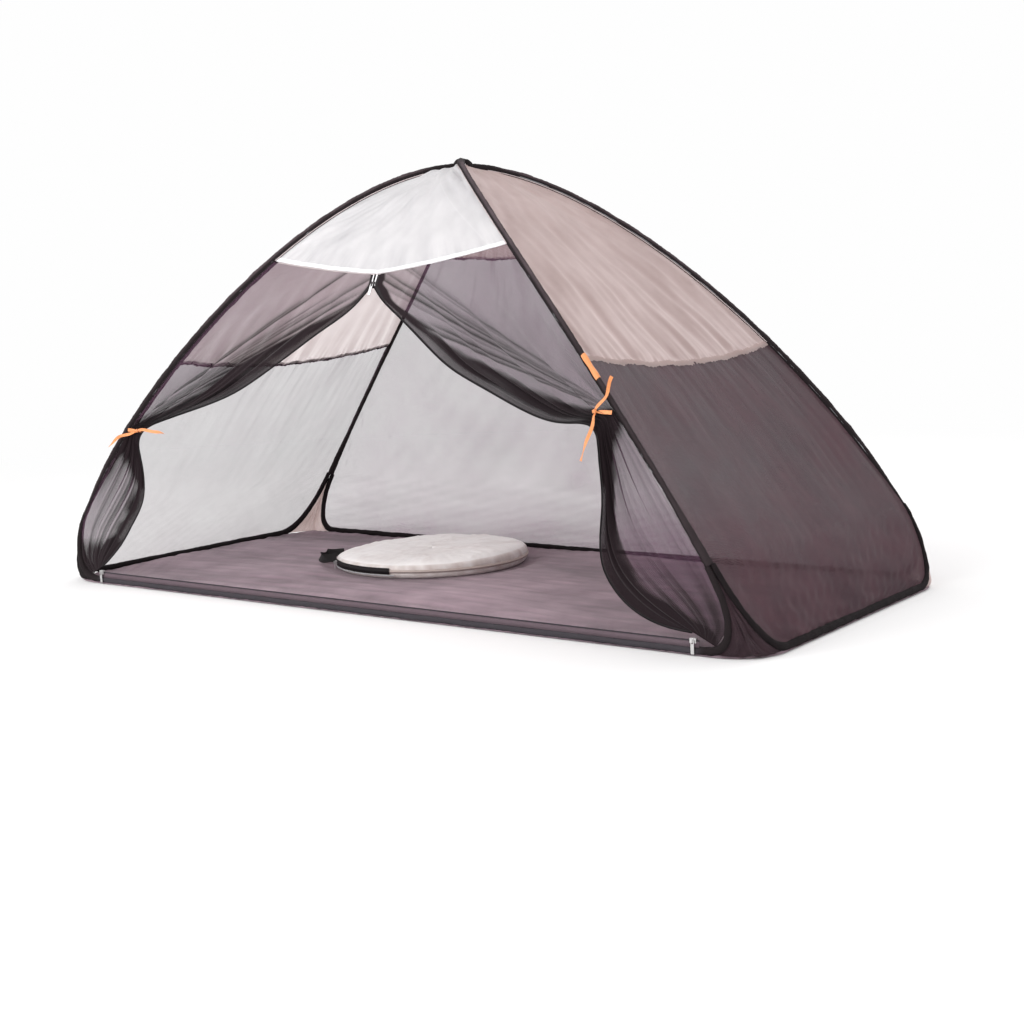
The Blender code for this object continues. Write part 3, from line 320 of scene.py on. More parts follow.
def mathNode(tree, operation, values=None, links=None):
    # one step of arithmetic on up to three inputs
    return addNode(tree, "ShaderNodeMath", {"operation": operation, **(values or {})}, links)


def bands(tree, way, thread):
    # sine across one way of the uv, thread metres from one line to the next
    place = addNode(tree, "ShaderNodeUVMap", {"uv_map": "cloth"})
    return addNode(tree, "ShaderNodeTexWave", {"wave_type": "BANDS", "bands_direction": way,
                   "Scale": np.pi / (10 * thread), "Distortion": 0.0}, {"Vector": place.outputs[0]})


def weave(tree, thread):
    # crossing threads: the sum of the bands each way
    return mathNode(tree, "ADD", links={0: bands(tree, "X", thread).outputs["Fac"],
                                        1: bands(tree, "Y", thread).outputs["Fac"]})


def tint(tree, shader, source, shade, base, low=0.0, high=1.0):
    # base colour between shade and base, as the source goes from low to high
    ramp = addNode(tree, "ShaderNodeValToRGB", links={"Fac": source})
    first, second = ramp.color_ramp.elements
    first.position, second.position = low, high
    first.color, second.color = colour(shade), colour(base)
    tree.links.new(ramp.outputs["Color"], shader.inputs["Base Color"])
    return ramp


def relief(tree, shader, strength, height):
    # bumps one thread high
    made = addNode(tree, "ShaderNodeBump", {"Strength": strength, "Distance": threadHeight},
                   {"Height": height})
    tree.links.new(made.outputs[0], shader.inputs["Normal"])


def clothMaterial(name, base, shade, rough=0.75, thread=0.0012, blotch=9.0, bump=0.25, sheen=0.15,
                  cloud=0.35, through=0.0, shine=0.4, foldShade=0.0):
    # woven polyester taffeta: matt with a faint sheen, fine crossing threads, slow drifts of tone;
    # through is the share of light that a thin cloth passes; the fold weight sets how strongly the piece's
    # mark paints light and shade on it
    made, tree, shader = startMaterial(name)
    drift = noise(tree, blotch, 4.0, 0.6)
    # painted light and shade: the mark less a half, times the fold weight, moves the tone toward the base
    # colour where it is high and the shade colour where it is low
    paintedLight = mathNode(tree, "SUBTRACT", {1: 0.5 if foldShade else 0.0}, {0: gatherMark(tree).outputs["Fac"]})
    tone = mathNode(tree, "MULTIPLY_ADD", {1: foldShade}, {0: paintedLight.outputs[0], 2: drift.outputs["Fac"]})
    ramp = tint(tree, shader, tone.outputs[0], shade, base, 0.5 - cloud, 0.5 + cloud)
    relief(tree, shader, bump, weave(tree, thread).outputs[0])
    setInputs(shader, {"Roughness": rough, "Sheen Weight": sheen, "Sheen Roughness": 0.4,
                       "Specular IOR Level": shine})
    if through:
        glow = addNode(tree, "ShaderNodeBsdfTranslucent", links={"Color": ramp.outputs["Color"]})
        showShader(tree, addNode(tree, "ShaderNodeMixShader", {0: through},
                                 {1: shader.outputs[0], 2: glow.outputs[0]}))
    return made


def netMaterial(name, base, shade, cover, gathered, deep=False, hole=0.0032):
    # knitted polyester net: dark threads round holes, drawn coarser than the real 1.5 mm so that it shows;
    # where the cloth is gathered the layers close up and let less through
    made, tree, shader = startMaterial(name)
    place = addNode(tree, "ShaderNodeUVMap", {"uv_map": "cloth"})
    cells = addNode(tree, "ShaderNodeTexVoronoi", {"feature": "DISTANCE_TO_EDGE", "Scale": 1 / hole,
                    "Randomness": 0.35}, {"Vector": place.outputs[0]})
    threads = addNode(tree, "ShaderNodeMapRange", {"From Min": 0.03, "From Max": 0.22, "To Min": 1.0,
                      "To Max": 0.0}, {"Value": cells.outputs["Distance"]})
    drift, gather = noise(tree, 7.0, 5.0, 0.65), gatherMark(tree)
    body = addNode(tree, "ShaderNodeMapRange", {"From Min": 0.0, "From Max": 1.0, "To Min": cover,
                   "To Max": gathered}, {"Value": gather.outputs["Fac"]})
    threadShare = mathNode(tree, "MULTIPLY_ADD", {1: 0.16}, {0: threads.outputs[0], 2: body.outputs[0]})
    cloudShare = mathNode(tree, "MULTIPLY_ADD", {1: 0.14, "use_clamp": True},
                          {0: drift.outputs["Fac"], 2: threadShare.outputs[0]})
    tree.links.new(cloudShare.outputs[0], shader.inputs["Alpha"])
    tone = drift.outputs["Fac"]
    # the mark also carries the curtains' painted fold shade, which thickens the net above; with deep, the
    # colour goes toward the shade colour as the mark rises, for layers of dark thread and for that painted
    # shade
    if deep:
        tone = mathNode(tree, "SUBTRACT", {0: 0.85}, {1: gather.outputs["Fac"]}).outputs[0]
    tint(tree, shader, tone, shade, base, 0.3, 0.7)
    setInputs(shader, {"Roughness": 0.85, "Sheen Weight": 0.06, "Specular IOR Level": 0.15})
    return made


def metalMaterial(name, base, rough):
    # die-cast zinc with nickel plate: grey metal with fine tumbling marks
    made, tree, shader = startMaterial(name)
    dull = addNode(tree, "ShaderNodeMapRange", {"To Min": rough - 0.08, "To Max": rough + 0.08},
                   {"Value": noise(tree, 900.0, 3.0).outputs["Fac"]})
    tree.links.new(dull.outputs[0], shader.inputs["Roughness"])
    setInputs(shader, {"Base Color": colour(base), "Metallic": 1.0})
    return made


def ribbonMaterial(name, base, shade, rib=0.0016):
    # grosgrain ribbon: ribs run along it as darker lines
    made, tree, shader = startMaterial(name)
    ribs = bands(tree, "X", rib).outputs["Fac"]
    tint(tree, shader, ribs, shade, base)
    relief(tree, shader, 0.4, ribs)
    setInputs(shader, {"Roughness": 0.45, "Sheen Weight": 0.2})
    return made


whiteTaffeta = clothMaterial("white_polyester_taffeta", "ECEBEC", "BDBCBF", 0.7, blotch=5.0, cloud=0.5,
                             through=0.30, foldShade=0.55)
beigeTaffeta = clothMaterial("beige_polyester_taffeta", "EBD9D6", "B8A19D", 0.72, blotch=6.0, cloud=0.5,
                             through=0.50, foldShade=0.6)
# the left roof's copy of the beige cloth, lighter and passing more light: painted light
litTaffeta = clothMaterial("lit_beige_taffeta", "F1E9E8", "D2C4C3", 0.72, blotch=6.0, cloud=0.5,
                           through=0.62, foldShade=0.5)
sleeveTape = clothMaterial("black_nylon_sleeve", "1E1719", "130F11", 0.85, blotch=40.0, bump=0.5, sheen=0.0,
                           shine=0.15)
floorTaffeta = clothMaterial("mauve_oxford_floor", "B69CA8", "59464F", 0.6, blotch=7.0, cloud=0.5, shine=0.3,
                             foldShade=0.9)
pipingCord = clothMaterial("pinkish_piping", "D9CBCB", "BFB0B0", 0.6, blotch=60.0)
zipTape = clothMaterial("black_zip_tape", "181416", "0E0C0D", 0.8, thread=0.0008, blotch=60.0, sheen=0.0,
                        shine=0.15)
blackWebbing = clothMaterial("black_webbing", "232021", "121011", 0.7, thread=0.0015, blotch=80.0, bump=0.8,
                             sheen=0.05)
# the three net walls are one net in copies: the right wall's darker and denser for painted shade, the left
# wall's thinner for painted light
shadedNet = netMaterial("shaded_wall_mesh", "4C333A", "38272D", 0.74, 0.93)
curtainNet = netMaterial("curtain_mesh", "52394A", "1E1418", 0.31, 0.97, True)
backNet = netMaterial("light_mesh", "7E5A72", "644758", 0.30, 0.80)
litNet = netMaterial("lit_wall_mesh", "7E5A72", "644758", 0.22, 0.50)
cornerNet = netMaterial("corner_mesh", "3A292F", "271B20", 0.78, 0.95)
orangeRibbon = ribbonMaterial("orange_grosgrain", "EE9C5E", "CF7A42")
nickelPlate = metalMaterial("nickel_plate", "C9C8C8", 0.34)
springSteel = metalMaterial("blued_spring_steel", "8C8D90", 0.4)
darkPlate = metalMaterial("black_nickel_plate", "4A4648", 0.42)


def markedMaterial(name, first, second, rough=0.7):
    # two colours on one piece, chosen by its own mark: first where the mark is 0, second where it is 1; on
    # some pieces the second is painted shade or a painted highlight
    made, tree, shader = startMaterial(name)
    tone = addNode(tree, "ShaderNodeMapRange", {"To Min": 0.88, "To Max": 1.06},
                   {"Value": noise(tree, 45.0, 4.0).outputs["Fac"]})
    mixed = addNode(tree, "ShaderNodeMix", {"data_type": "RGBA"})
    setInputs(mixed, {6: colour(first), 7: colour(second)})
    tree.links.new(gatherMark(tree).outputs["Fac"], mixed.inputs[0])
    shaded = addNode(tree, "ShaderNodeVectorMath", {"operation": "SCALE"}, {0: mixed.outputs[2]})
    tree.links.new(tone.outputs[0], shaded.inputs["Scale"])
    tree.links.new(shaded.outputs[0], shader.inputs["Base Color"])
    relief(tree, shader, 0.3, weave(tree, 0.0012).outputs[0])
    setInputs(shader, {"Roughness": rough, "Specular IOR Level": 0.18})
    return made


doorTape = markedMaterial("door_zip_tape", "242022", "F4F2F3")
# the bag's second colour is painted shade on its top and the colour of its side
bagCloth = markedMaterial("bag_cloth", "FEFCFB", "CFC1BC")
bagTape = markedMaterial("bag_zip_tape", "242022", "C9BAB4")
frontSleeve = markedMaterial("front_hem_sleeve", "1E1719", "3D393E", 0.8)
hemCloth = markedMaterial("white_hem_cloth", "E8E6E8", "D8D5D7")
# the ridge sleeve's second colour is its painted highlight
ridgeTape = markedMaterial("ridge_sleeve_tape", "1E1719", "52464A", 0.8)
hemTape = markedMaterial("hem_zip_tape", "39353A", "62545B", 0.75)
print("materials made")


# roofs and net walls: rows of straight lines between two ridge edges, hung inward by sag*4u(1-u)
walls = dict(rows=130, cols=260, roofRows=150, tuck=0.0055, seamGap=0.0004)
fl, fr, br, bl = (left, front), (right, front), (right, back), (left, back)
# the front hem is drawn down to a soft point by its zip, the other seams hang in a rounder bow
frontWall = dict(first=fl, second=fr, longSide=True, share=tent["hemShare"], belly=0.044, bow=1.2, sag=0.0)
backWall = dict(first=bl, second=br, longSide=True, share=tent["hemShare"], belly=0.012, bow=2.0, sag=0.010)
leftWall = dict(first=fl, second=bl, longSide=False, share=tent["endSeam"], belly=0.022, bow=2.0, sag=0.012)
rightWall = dict(first=fr, second=br, longSide=False, share=tent["endSeam"], belly=0.022, bow=2.0, sag=0.012)


def wallGrid(wall, q, u):
    # point = edgeA(q)(1-u) + edgeB(q)u + inward * sag * 4u(1-u) * sin(pi * q), q held between 0 and 1
    first, second, longSide = wall["first"], wall["second"], wall["longSide"]
    inward = -acrossY * first[1] if longSide else -alongX * first[0]
    a = edgeLine(q, *first, longSide, walls["tuck"])
    b = edgeLine(q, *second, longSide, walls["tuck"])
    hang = wall["sag"] * 4 * u * (1 - u) * np.sin(np.pi * np.clip(q, 0, 1))
    return a * (1 - u[..., None]) + b * u[..., None] + inward * hang[..., None]


def seamRow(wall, u):
    # where the seam lies: (share + belly * (1 - |2u - 1|^bow)) / split
    return (wall["share"] + wall["belly"] * (1 - np.abs(2 * u - 1) ** wall["bow"])) / tent["split"]


def makeRoof(name, wall, material, node, seed, pucker, pleat, fold, streak=0.0):
    # soft diagonal folds that tighten into pleats and small puckers at the stitched hem
    v, u = unitGrid(walls["roofRows"], walls["cols"])
    top = tent["panelTop"] / tent["split"]
    q = top + v * (seamRow(wall, u) - top)
    grid = wallGrid(wall, q, u)
    normal = gridNormals(grid)
    inside = ease(u / 0.05) * ease((1 - u) / 0.05) * ease(v / 0.1)
    lean = u + (1 - v) * (u - 0.5) * -0.25 + 0.10 * (1 - v)
    slow = wander(u * 9 + v * 5, v * 7 - u * 4, seed, 3, 0.55) * fold
    near, close = np.exp(-(1 - v) / 0.30), np.exp(-(1 - v) / 0.06)
    pleats = wander(lean * 62, v * 2.2, seed + 2, 2, 0.55)
    tight = wander(u * 170, v * 14 + u * 20, seed + 1, 3, 0.6)
    diagonal = wander(u * 26 + v * 15, v * 3 - u * 2, seed + 7, 3, 0.6)
    height = (slow * ease((1 - v) / 0.2) + pleats * pleat * near * ease((1 - v) / 0.03)
              + tight * pucker * close)
    height = height + diagonal * fold * 0.22 * ease((1 - v) / 0.2)
    fan = (u - 0.5) / (v + 0.22)
    rays = wander(fan * 11, v * 1.6 + fan * 2, seed + 11, 3, 0.6) * ease((v - 0.05) / 0.25)
    creases = np.exp(-np.abs(wander(fan * 7 + 3, v * 1.2, seed + 12, 3, 0.55)) / 0.05)
    creases = creases * ease((v - 0.1) / 0.3)
    height = height + rays * fold * 0.35 * ease((1 - v) / 0.15)
    grid = grid + normal * (height * inside)[..., None]
    # painted light and shade: the mark lightens the roof toward its hem, on one side of each fold, on the
    # crests of rays, pleats and puckers, and along crease lines by streak
    slope = np.gradient(height, axis=1)
    lines = np.exp(-np.abs(wander(u * 11 + v * 12, v * 8 - u * 6, seed + 9, 4, 0.62)) / 0.03)
    patches = np.clip(wander(u * 4, v * 4, seed + 8, 2) + 0.2, 0, 1)
    # painted shade: thin crinkle lines, darker in patches
    lineShade = 0.14 * lines * ease((v - 0.30) / 0.4) * patches
    paintedLight = 0.36 + 0.30 * v + 0.06 * rays + streak * creases + 0.04 * diagonal - lineShade
    paintedLight = paintedLight + (0.06 + 0.16 * near) * slope / slope.std() + 0.12 * pleats * near + 0.16 * tight * close
    made = makePiece(name, [openPart(grid, np.clip(paintedLight, 0, 1))], material, node=node)


def makeNetWall(name, wall, material, node, seed, fold):
    # net from the seam to the floor sleeve, drawn into wrinkles at the seam and corners
    v, u = unitGrid(walls["rows"], walls["cols"])
    start = seamRow(wall, u) + walls["seamGap"]
    q = start + v * (2 - start)
    grid = wallGrid(wall, q, u)
    normal = gridNormals(grid)
    inside = ease(u / 0.06) * ease((1 - u) / 0.06) * ease((1 - v) / 0.12)
    near = np.exp(-v / 0.08)
    slow = wander(u * 16 + v * 9, v * 8 - u * 7, seed, 4, 0.6) * fold
    tight = wander(u * 120, v * 20 + u * 16, seed + 1, 3, 0.6) * 0.0016 * near
    shape = slow * ease(v / 0.06) + tight
    grid = grid + normal * (shape * inside)[..., None]
    slope = np.gradient(shape, axis=1)
    fine = wander(u * 22 + v * 30, v * 34 - u * 12, seed + 4, 4, 0.66)
    lines = np.exp(-np.abs(fine) / 0.035) * np.clip(wander(u * 5, v * 6, seed + 6, 2), 0, 1)
    # the mark sets the net's cover; its slope term is painted shade, denser on one side of each wrinkle
    mark = (0.26 + 0.03 * slope / slope.std() + 0.035 * fine + 0.20 * lines * ease(v / 0.1)
            + 0.42 * (u + v - 1))
    mark = np.clip(mark + 0.35 * near * np.clip(wander(u * 120, v * 20, seed + 1, 3), -0.3, 1), 0, 1)
    made = makePiece(name, [openPart(grid, mark)], material, node=node)


makeRoof("frontRoof", frontWall, whiteTaffeta, "roof_front", 11, pucker=0.0004, pleat=0.0012, fold=0.0075,
         streak=0.24)
makeRoof("backRoof", backWall, beigeTaffeta, "roof_back", 21, pucker=0.0012, pleat=0.0022, fold=0.004)
makeRoof("leftRoof", leftWall, litTaffeta, "roof_left", 31, pucker=0.0015, pleat=0.0060, fold=0.007)
makeRoof("rightRoof", rightWall, beigeTaffeta, "roof_right", 41, pucker=0.0015, pleat=0.0066, fold=0.007)
makeNetWall("backNet", backWall, backNet, "net_back", 22, fold=0.005)
makeNetWall("leftNet", leftWall, litNet, "net_left", 32, fold=0.004)
makeNetWall("rightNet", rightWall, shadedNet, "net_right", 42, fold=0.004)
print("roofs and net walls made")

# sleeves: black oval tubes with rumples, and a pale piping cord along their edges
sleeve = dict(stations=420, sides=18, rumple=0.07, runStations=260, bendStations=44, bottomRumple=0.10,
              bottomSlack=1.02, wideShare=0.78, slim=0.16, stand=0.34, bunch=0.0050)
piping = dict(radius=0.0009, sides=8, stations=240, start=0.05, out=0.0007, back=0.0030, rumple=0.12, seed=7)


def sleeveWide(t):
    # half width of the sewn sleeve: the solid's times wideShare - slim * pinch, a slim fin
    return halfWidth(t) * (sleeve["wideShare"] - sleeve["slim"] * pinch(t))


def sleeveHigh(t):
    # half height: the solid's, raised by stand where it is pinched and by bunch at the crossing
    return halfThick(t) * (1 + sleeve["stand"] * pinch(t)) + sleeve["bunch"] * (1 - pinch(t)) * (t < 0.5)


def makeRidgeSleeve(name, first, second, node, seed):
    # one oval tube up from a corner, over the apex and down to the opposite one; the mark is a painted
    # highlight along its outward top, none at the apex and weaker toward the corners
    t = np.linspace(tent["split"], 0, sleeve["stations"])
    a, b = ridgeFrame(t, *first), ridgeFrame(t[::-1][1:], *second)
    centre = np.concatenate((a[0], b[0]))
    side = np.concatenate((a[2], -b[2]))
    out = np.concatenate((a[3], b[3]))
    reach = np.concatenate((t, t[::-1][1:]))
    part = tubePart(centre, side, out, sleeveWide(reach), sleeveHigh(reach), sleeve["sides"],
                    rumple=sleeve["rumple"], seed=seed)
    around = np.linspace(0, 2 * np.pi, sleeve["sides"], endpoint=False)[None, :]
    reach = reach[:, None]
    # painted highlight: the outward top takes the ridge tape's lighter grey
    paintedLight = ease((np.sin(around) - 0.42) / 0.35) * ease((reach - 0.05) / 0.06)
    paintedLight = paintedLight * (1 - 0.75 * ease((reach - 0.35) / 0.25))
    paintedLight = np.clip(paintedLight * (0.85 + 0.3 * wander(reach * 120, around, seed + 5, 3)), 0, 1)
    makePiece(name, [part[:4] + (paintedLight,)], ridgeTape, node=node)


makeRidgeSleeve("ridgeSleeveLower", fl, br, "ridge_sleeve_lower", 51)
makeRidgeSleeve("ridgeSleeveUpper", fr, bl, "ridge_sleeve_upper", 52)


def bottomPath(wall):
    # round one corner, straight along the floor, and up the next corner
    s = np.linspace(0, 1, sleeve["bendStations"])
    c1, w1, t1, x1 = bendFrame(s, *wall["first"], wall["longSide"])
    c2, w2, t2, x2 = bendFrame(s[::-1], *wall["second"], wall["longSide"])
    k = np.linspace(0, 1, sleeve["runStations"])[1:-1, None]
    centre = np.concatenate((c1, c1[-1] * (1 - k) + c2[0] * k, c2))
    toward = np.concatenate((t1, t1[-1] * (1 - k) + t2[0] * k, t2))
    across = np.concatenate((x1, x1[-1] * (1 - k) - x2[0] * k, -x2))
    radius = np.concatenate((bendLook(s), np.full(len(k), tent["bottomRadius"]), bendLook(s[::-1])))
    return centre, toward, across, radius


def makeBottomSleeve(name, wall, node, seed, material):
    # round tube a little slacker than the solid, resting on the floor; a long one's mark is its straight run
    centre, toward, across, radius = bottomPath(wall)
    slack = radius * sleeve["bottomSlack"]
    part = tubePart(centre, toward, across, slack, slack, sleeve["sides"], rumple=sleeve["bottomRumple"],
                    seed=seed)
    grid = part[0]
    grid[..., 2] = np.maximum(grid[..., 2], tent["floorTop"])
    run = ease((tent["runLong"] - np.abs(centre[:, :1])) / 0.03) * (centre[:, 2:] < 0.015)
    run = np.broadcast_to(run, grid.shape[:2])
    makePiece(name, [part[:4] + (run * 1.0,)], material, node=node)


makeBottomSleeve("bottomSleeveFront", frontWall, "bottom_sleeve_front", 61, frontSleeve)
makeBottomSleeve("bottomSleeveBack", backWall, "bottom_sleeve_back", 62, sleeveTape)
makeBottomSleeve("bottomSleeveLeft", leftWall, "bottom_sleeve_left", 63, sleeveTape)
makeBottomSleeve("bottomSleeveRight", rightWall, "bottom_sleeve_right", 64, sleeveTape)


def smallTube(centre, radius, sides):
    # round tube along a path, its side at right angles to the path and, but for a hair, to up
    way = unit(np.gradient(centre, axis=0))
    side = unit(np.cross(way, up + 1e-3 * alongX))
    return tubePart(centre, side, np.cross(way, side), radius, radius, sides)


def makePiping(name, corner, longSide, stop):
    # cord on the seam between a ridge sleeve and its panel, on the outer face
    t = np.linspace(piping["start"], stop, piping["stations"])
    at, down, side, out = ridgeFrame(t, *corner)
    reach = (sleeveWide(t) + piping["out"])[:, None]
    line = at + side * (reach if longSide else -reach) - out * piping["back"]
    part = tubePart(line, side, out, piping["radius"], piping["radius"], piping["sides"],
                    rumple=piping["rumple"], seed=piping["seed"])
    makePiece(name, [part], pipingCord)


for corner, tag in ((fl, "FrontLeft"), (fr, "FrontRight"), (br, "BackRight"), (bl, "BackLeft")):
    makePiping("piping" + tag + "Long", corner, True, tent["hemShare"])
    makePiping("piping" + tag + "End", corner, False, tent["endSeam"])

# gussets in the corners: a web between the parted sleeves, drawn down to the floor's corner
gusset = dict(top=0.10, end=0.93, cells=56, fold=0.0034, tuck=0.0028, inset=0.0012, lift=0.0006)


def makeGusset(name, corner, material, node, seed):
    # each row is a curve from one sleeve to the other, pulled toward the corner the lower it lies
    sx, sy = corner
    foot = np.array((sx * (tent["halfLength"] - gusset["inset"]), sy * (tent["halfWidth"] - gusset["inset"]),
                     tent["floorTop"] + gusset["inset"]))
    part = np.linspace(0, 1, gusset["cells"] + 1)
    s = gusset["top"] + (gusset["end"] - gusset["top"]) * part
    p = part[:, None]
    (ca, wa, ta, xa), (cb, wb, tb, xb) = (bendFrame(s, sx, sy, True), bendFrame(s, sx, sy, False))
    reach = (bendRadius(s) + tent["seat"] - gusset["tuck"])[:, None]
    between = unit(cb - ca)
    aWay = unit(-ta * (1 - p) + unit(foot - ca) * p + between * (1 - p))
    bWay = unit(-tb * (1 - p) + unit(foot - cb) * p - between * (1 - p))
    aWay = unit(aWay - wa * (aWay * wa).sum(-1, keepdims=True))
    bWay = unit(bWay - wb * (bWay * wb).sum(-1, keepdims=True))
    a, b = ca + aWay * reach, cb + bWay * reach
    pull = (a + b) / 2 * (1 - p) + foot * p
    u = np.linspace(0, 1, gusset["cells"] + 1)[None, :, None]
    grid = a[:, None] * (1 - u) ** 2 + pull[:, None] * 2 * u * (1 - u) + b[:, None] * u * u
    u2, v2 = np.broadcast_arrays(u[..., 0], p)
    hold = (4 * u2 * (1 - u2)) * ease(v2 / 0.3)
    fold = wander(u2 * 20, v2 * 6, seed, 3, 0.6)
    grid = grid + gridNormals(grid) * (fold * hold * gusset["fold"])[..., None]
    grid[..., 2] = np.maximum(grid[..., 2], tent["floorTop"] + gusset["lift"])
    # painted light and shade: on the beige gussets the mark lights the folds' crests and shades their
    # hollows; on the net gusset it thickens the crests
    paintedLight = np.clip(0.5 + 0.5 * fold, 0, 1)
    made = makePiece(name, [openPart(grid, paintedLight)], material, node=node)


makeGusset("gussetFrontLeft", fl, sleeveTape, "gusset_front_left", 71)
makeGusset("gussetFrontRight", fr, cornerNet, "gusset_front_right", 72)
makeGusset("gussetBackRight", br, beigeTaffeta, "gusset_back_right", 73)
makeGusset("gussetBackLeft", bl, beigeTaffeta, "gusset_back_left", 74)

# the strap over the crossing, a puffy bunch
strap = dict(long=0.030, wide=0.026, droop=0.0075, cells=60, puff=0.0040)


def makeStrap():
    # height falls with distance along the sleeve and eases down past the sleeve's edges
    far = ridgeFrame(np.array(tent["panelTop"]), right, front)[0]
    run = np.array((far[0], far[1], 0.0))
    along = unit(run)
    perp = np.array((-along[1], along[0], 0.0))
    fall = (tent["upperTop"] - far[2]) / np.linalg.norm(run)
    a = np.linspace(-strap["long"], strap["long"], strap["cells"] + 1)[:, None]
    p = np.linspace(-strap["wide"], strap["wide"], strap["cells"] + 1)[None, :]
    beyond = strap["wide"] - tent["ridgeHalfWidth"]
    droop = strap["droop"] * ease((np.abs(p) - tent["ridgeHalfWidth"]) / beyond)
    inside = ease((strap["long"] - np.abs(a)) / 0.02) * ease((strap["wide"] - np.abs(p)) / 0.02)
    puff = strap["puff"] * inside * (0.6 + 0.4 * wander(a * 160, p * 130, 81, 3, 0.6))
    corner = 0.016 * ease((np.hypot(a / strap["long"], p / strap["wide"]) - 0.75) / 0.65)
    height = tent["height"] - 0.0006 - np.abs(a) * fall - droop + puff - corner
    draw = 1 - 0.22 * ease((np.hypot(a / strap["long"], p / strap["wide"]) - 0.8) / 0.6)
    grid = (a * draw)[..., None] * along + (p * draw)[..., None] * perp + height[..., None] * up
    made = makePiece("apexStrap", [openPart(grid)], sleeveTape, node="apex_strap")


makeStrap()
print("sleeves, gussets and strap made")

# door curtains: swept to the ridges and tied, with their zip tapes; the free edges are drawn by places
# across and up, as shares of the tent's half length and of its height
doorTopShare = 0.716
doorEdgeShares = {left: np.array((
    (-0.0120, 0.699), (-0.036, 0.670), (-0.080, 0.642), (-0.129, 0.617), (-0.190, 0.579),
    (-0.255, 0.541), (-0.310, 0.510), (-0.368, 0.481), (-0.435, 0.459), (-0.504, 0.441),
    (-0.575, 0.423), (-0.630, 0.408), (-0.668, 0.398), (-0.687, 0.387), (-0.698, 0.374),
    (-0.700, 0.360), (-0.690, 0.345), (-0.674, 0.326), (-0.667, 0.304), (-0.668, 0.279),
    (-0.656, 0.252), (-0.659, 0.225), (-0.690, 0.182), (-0.731, 0.134), (-0.765, 0.105),
    (-0.797, 0.080), (-0.828, 0.058), (-0.853, 0.044))),
    right: np.array((
        (0.0120, 0.699), (0.045, 0.676), (0.090, 0.650), (0.126, 0.627), (0.162, 0.602),
        (0.205, 0.573), (0.250, 0.542), (0.306, 0.517), (0.362, 0.495), (0.438, 0.463),
        (0.500, 0.440), (0.557, 0.428), (0.598, 0.432), (0.622, 0.438), (0.637, 0.436),
        (0.647, 0.425), (0.648, 0.408), (0.645, 0.386), (0.652, 0.352), (0.661, 0.320),
        (0.665, 0.276), (0.661, 0.246), (0.657, 0.187), (0.668, 0.140), (0.700, 0.092),
        (0.748, 0.062), (0.802, 0.046), (0.853, 0.044)))}
curtain = dict(rows=44, closed=2, power=1.7, rounds=2, fine=6, cols=190, fold=0.0036, billow=0.010,
               billowShare=0.55, topTape=0.0125, edgeTape=0.0036, slit=0.0009, hemGap=0.0015, tuck=0.004,
               under=0.0012, foot=1.875, tie={left: 0.694, right: 0.650},
               bunchFrom={left: 0.62, right: 0.74}, skirt={left: 0.9, right: 0.58},
               lowVeil={left: 0.10, right: 0.02}, lowBand={left: 0.046, right: 0.072},
               lowFold={left: 1.0, right: 0.35}, skirtTop={left: 0.13, right: 0.24}, skirtFoot=0.08,
               band={left: (0.130, 0.0, 0.74), right: (0.096, 0.06, 0.52)})
doorZip = dict(cols=9, wave=0.0011, back=0.0003, coilRadius=0.0013, coilSides=6, coilStations=900,
               coilIn=0.0004, coilOut=0.0006)
frontLines = {sx: edgeLine(np.linspace(tent["panelTop"] / tent["split"], 2, 700), sx, front, True)[::-1]
              for sx in (left, right)}


def frontDepth(x, z):
    # y of the front's plane: the two ridges' y at this height, mixed by how far across x lies
    share = np.clip(x / (tent["hemShare"] * 2 * tent["halfLength"]) + 0.5, 0, 1)
    a, b = (np.interp(z, frontLines[sx][:, 2], frontLines[sx][:, 1]) for sx in (left, right))
    return a * (1 - share) + b * share


def resample(points, count, power=1.0):
    # equal steps along a line, or crowded toward its start by the power
    reach = runLength(points)
    at = np.linspace(0, 1, count) ** power * reach[-1]
    return np.stack([np.interp(at, reach, points[:, k]) for k in range(points.shape[1])], 1)


def refine(points, times):
    # Catmull-Rom curve through the points, times as many steps: half of 2b + (c-a)f
    # + (2a-5b+4c-d)f^2 + (3b-a-3c+d)f^3 between the points b and c
    p = np.concatenate((2 * points[:1] - points[1:2], points, 2 * points[-1:] - points[-2:-1]))
    f = (np.arange(times) / times)[None, :, None]
    a, b, c, d = (p[k:len(p) - 3 + k, None] for k in range(4))
    fine = 0.5 * (2 * b + (c - a) * f + (2 * a - 5 * b + 4 * c - d) * f ** 2
                  + (3 * b - a - 3 * c + d) * f ** 3)
    return np.concatenate((fine.reshape(-1, points.shape[1]), points[-1:]))


def hemPoint(u):
    # the front roof's hem, u of the way across
    return wallGrid(frontWall, seamRow(frontWall, u)[None], u[None])[0]


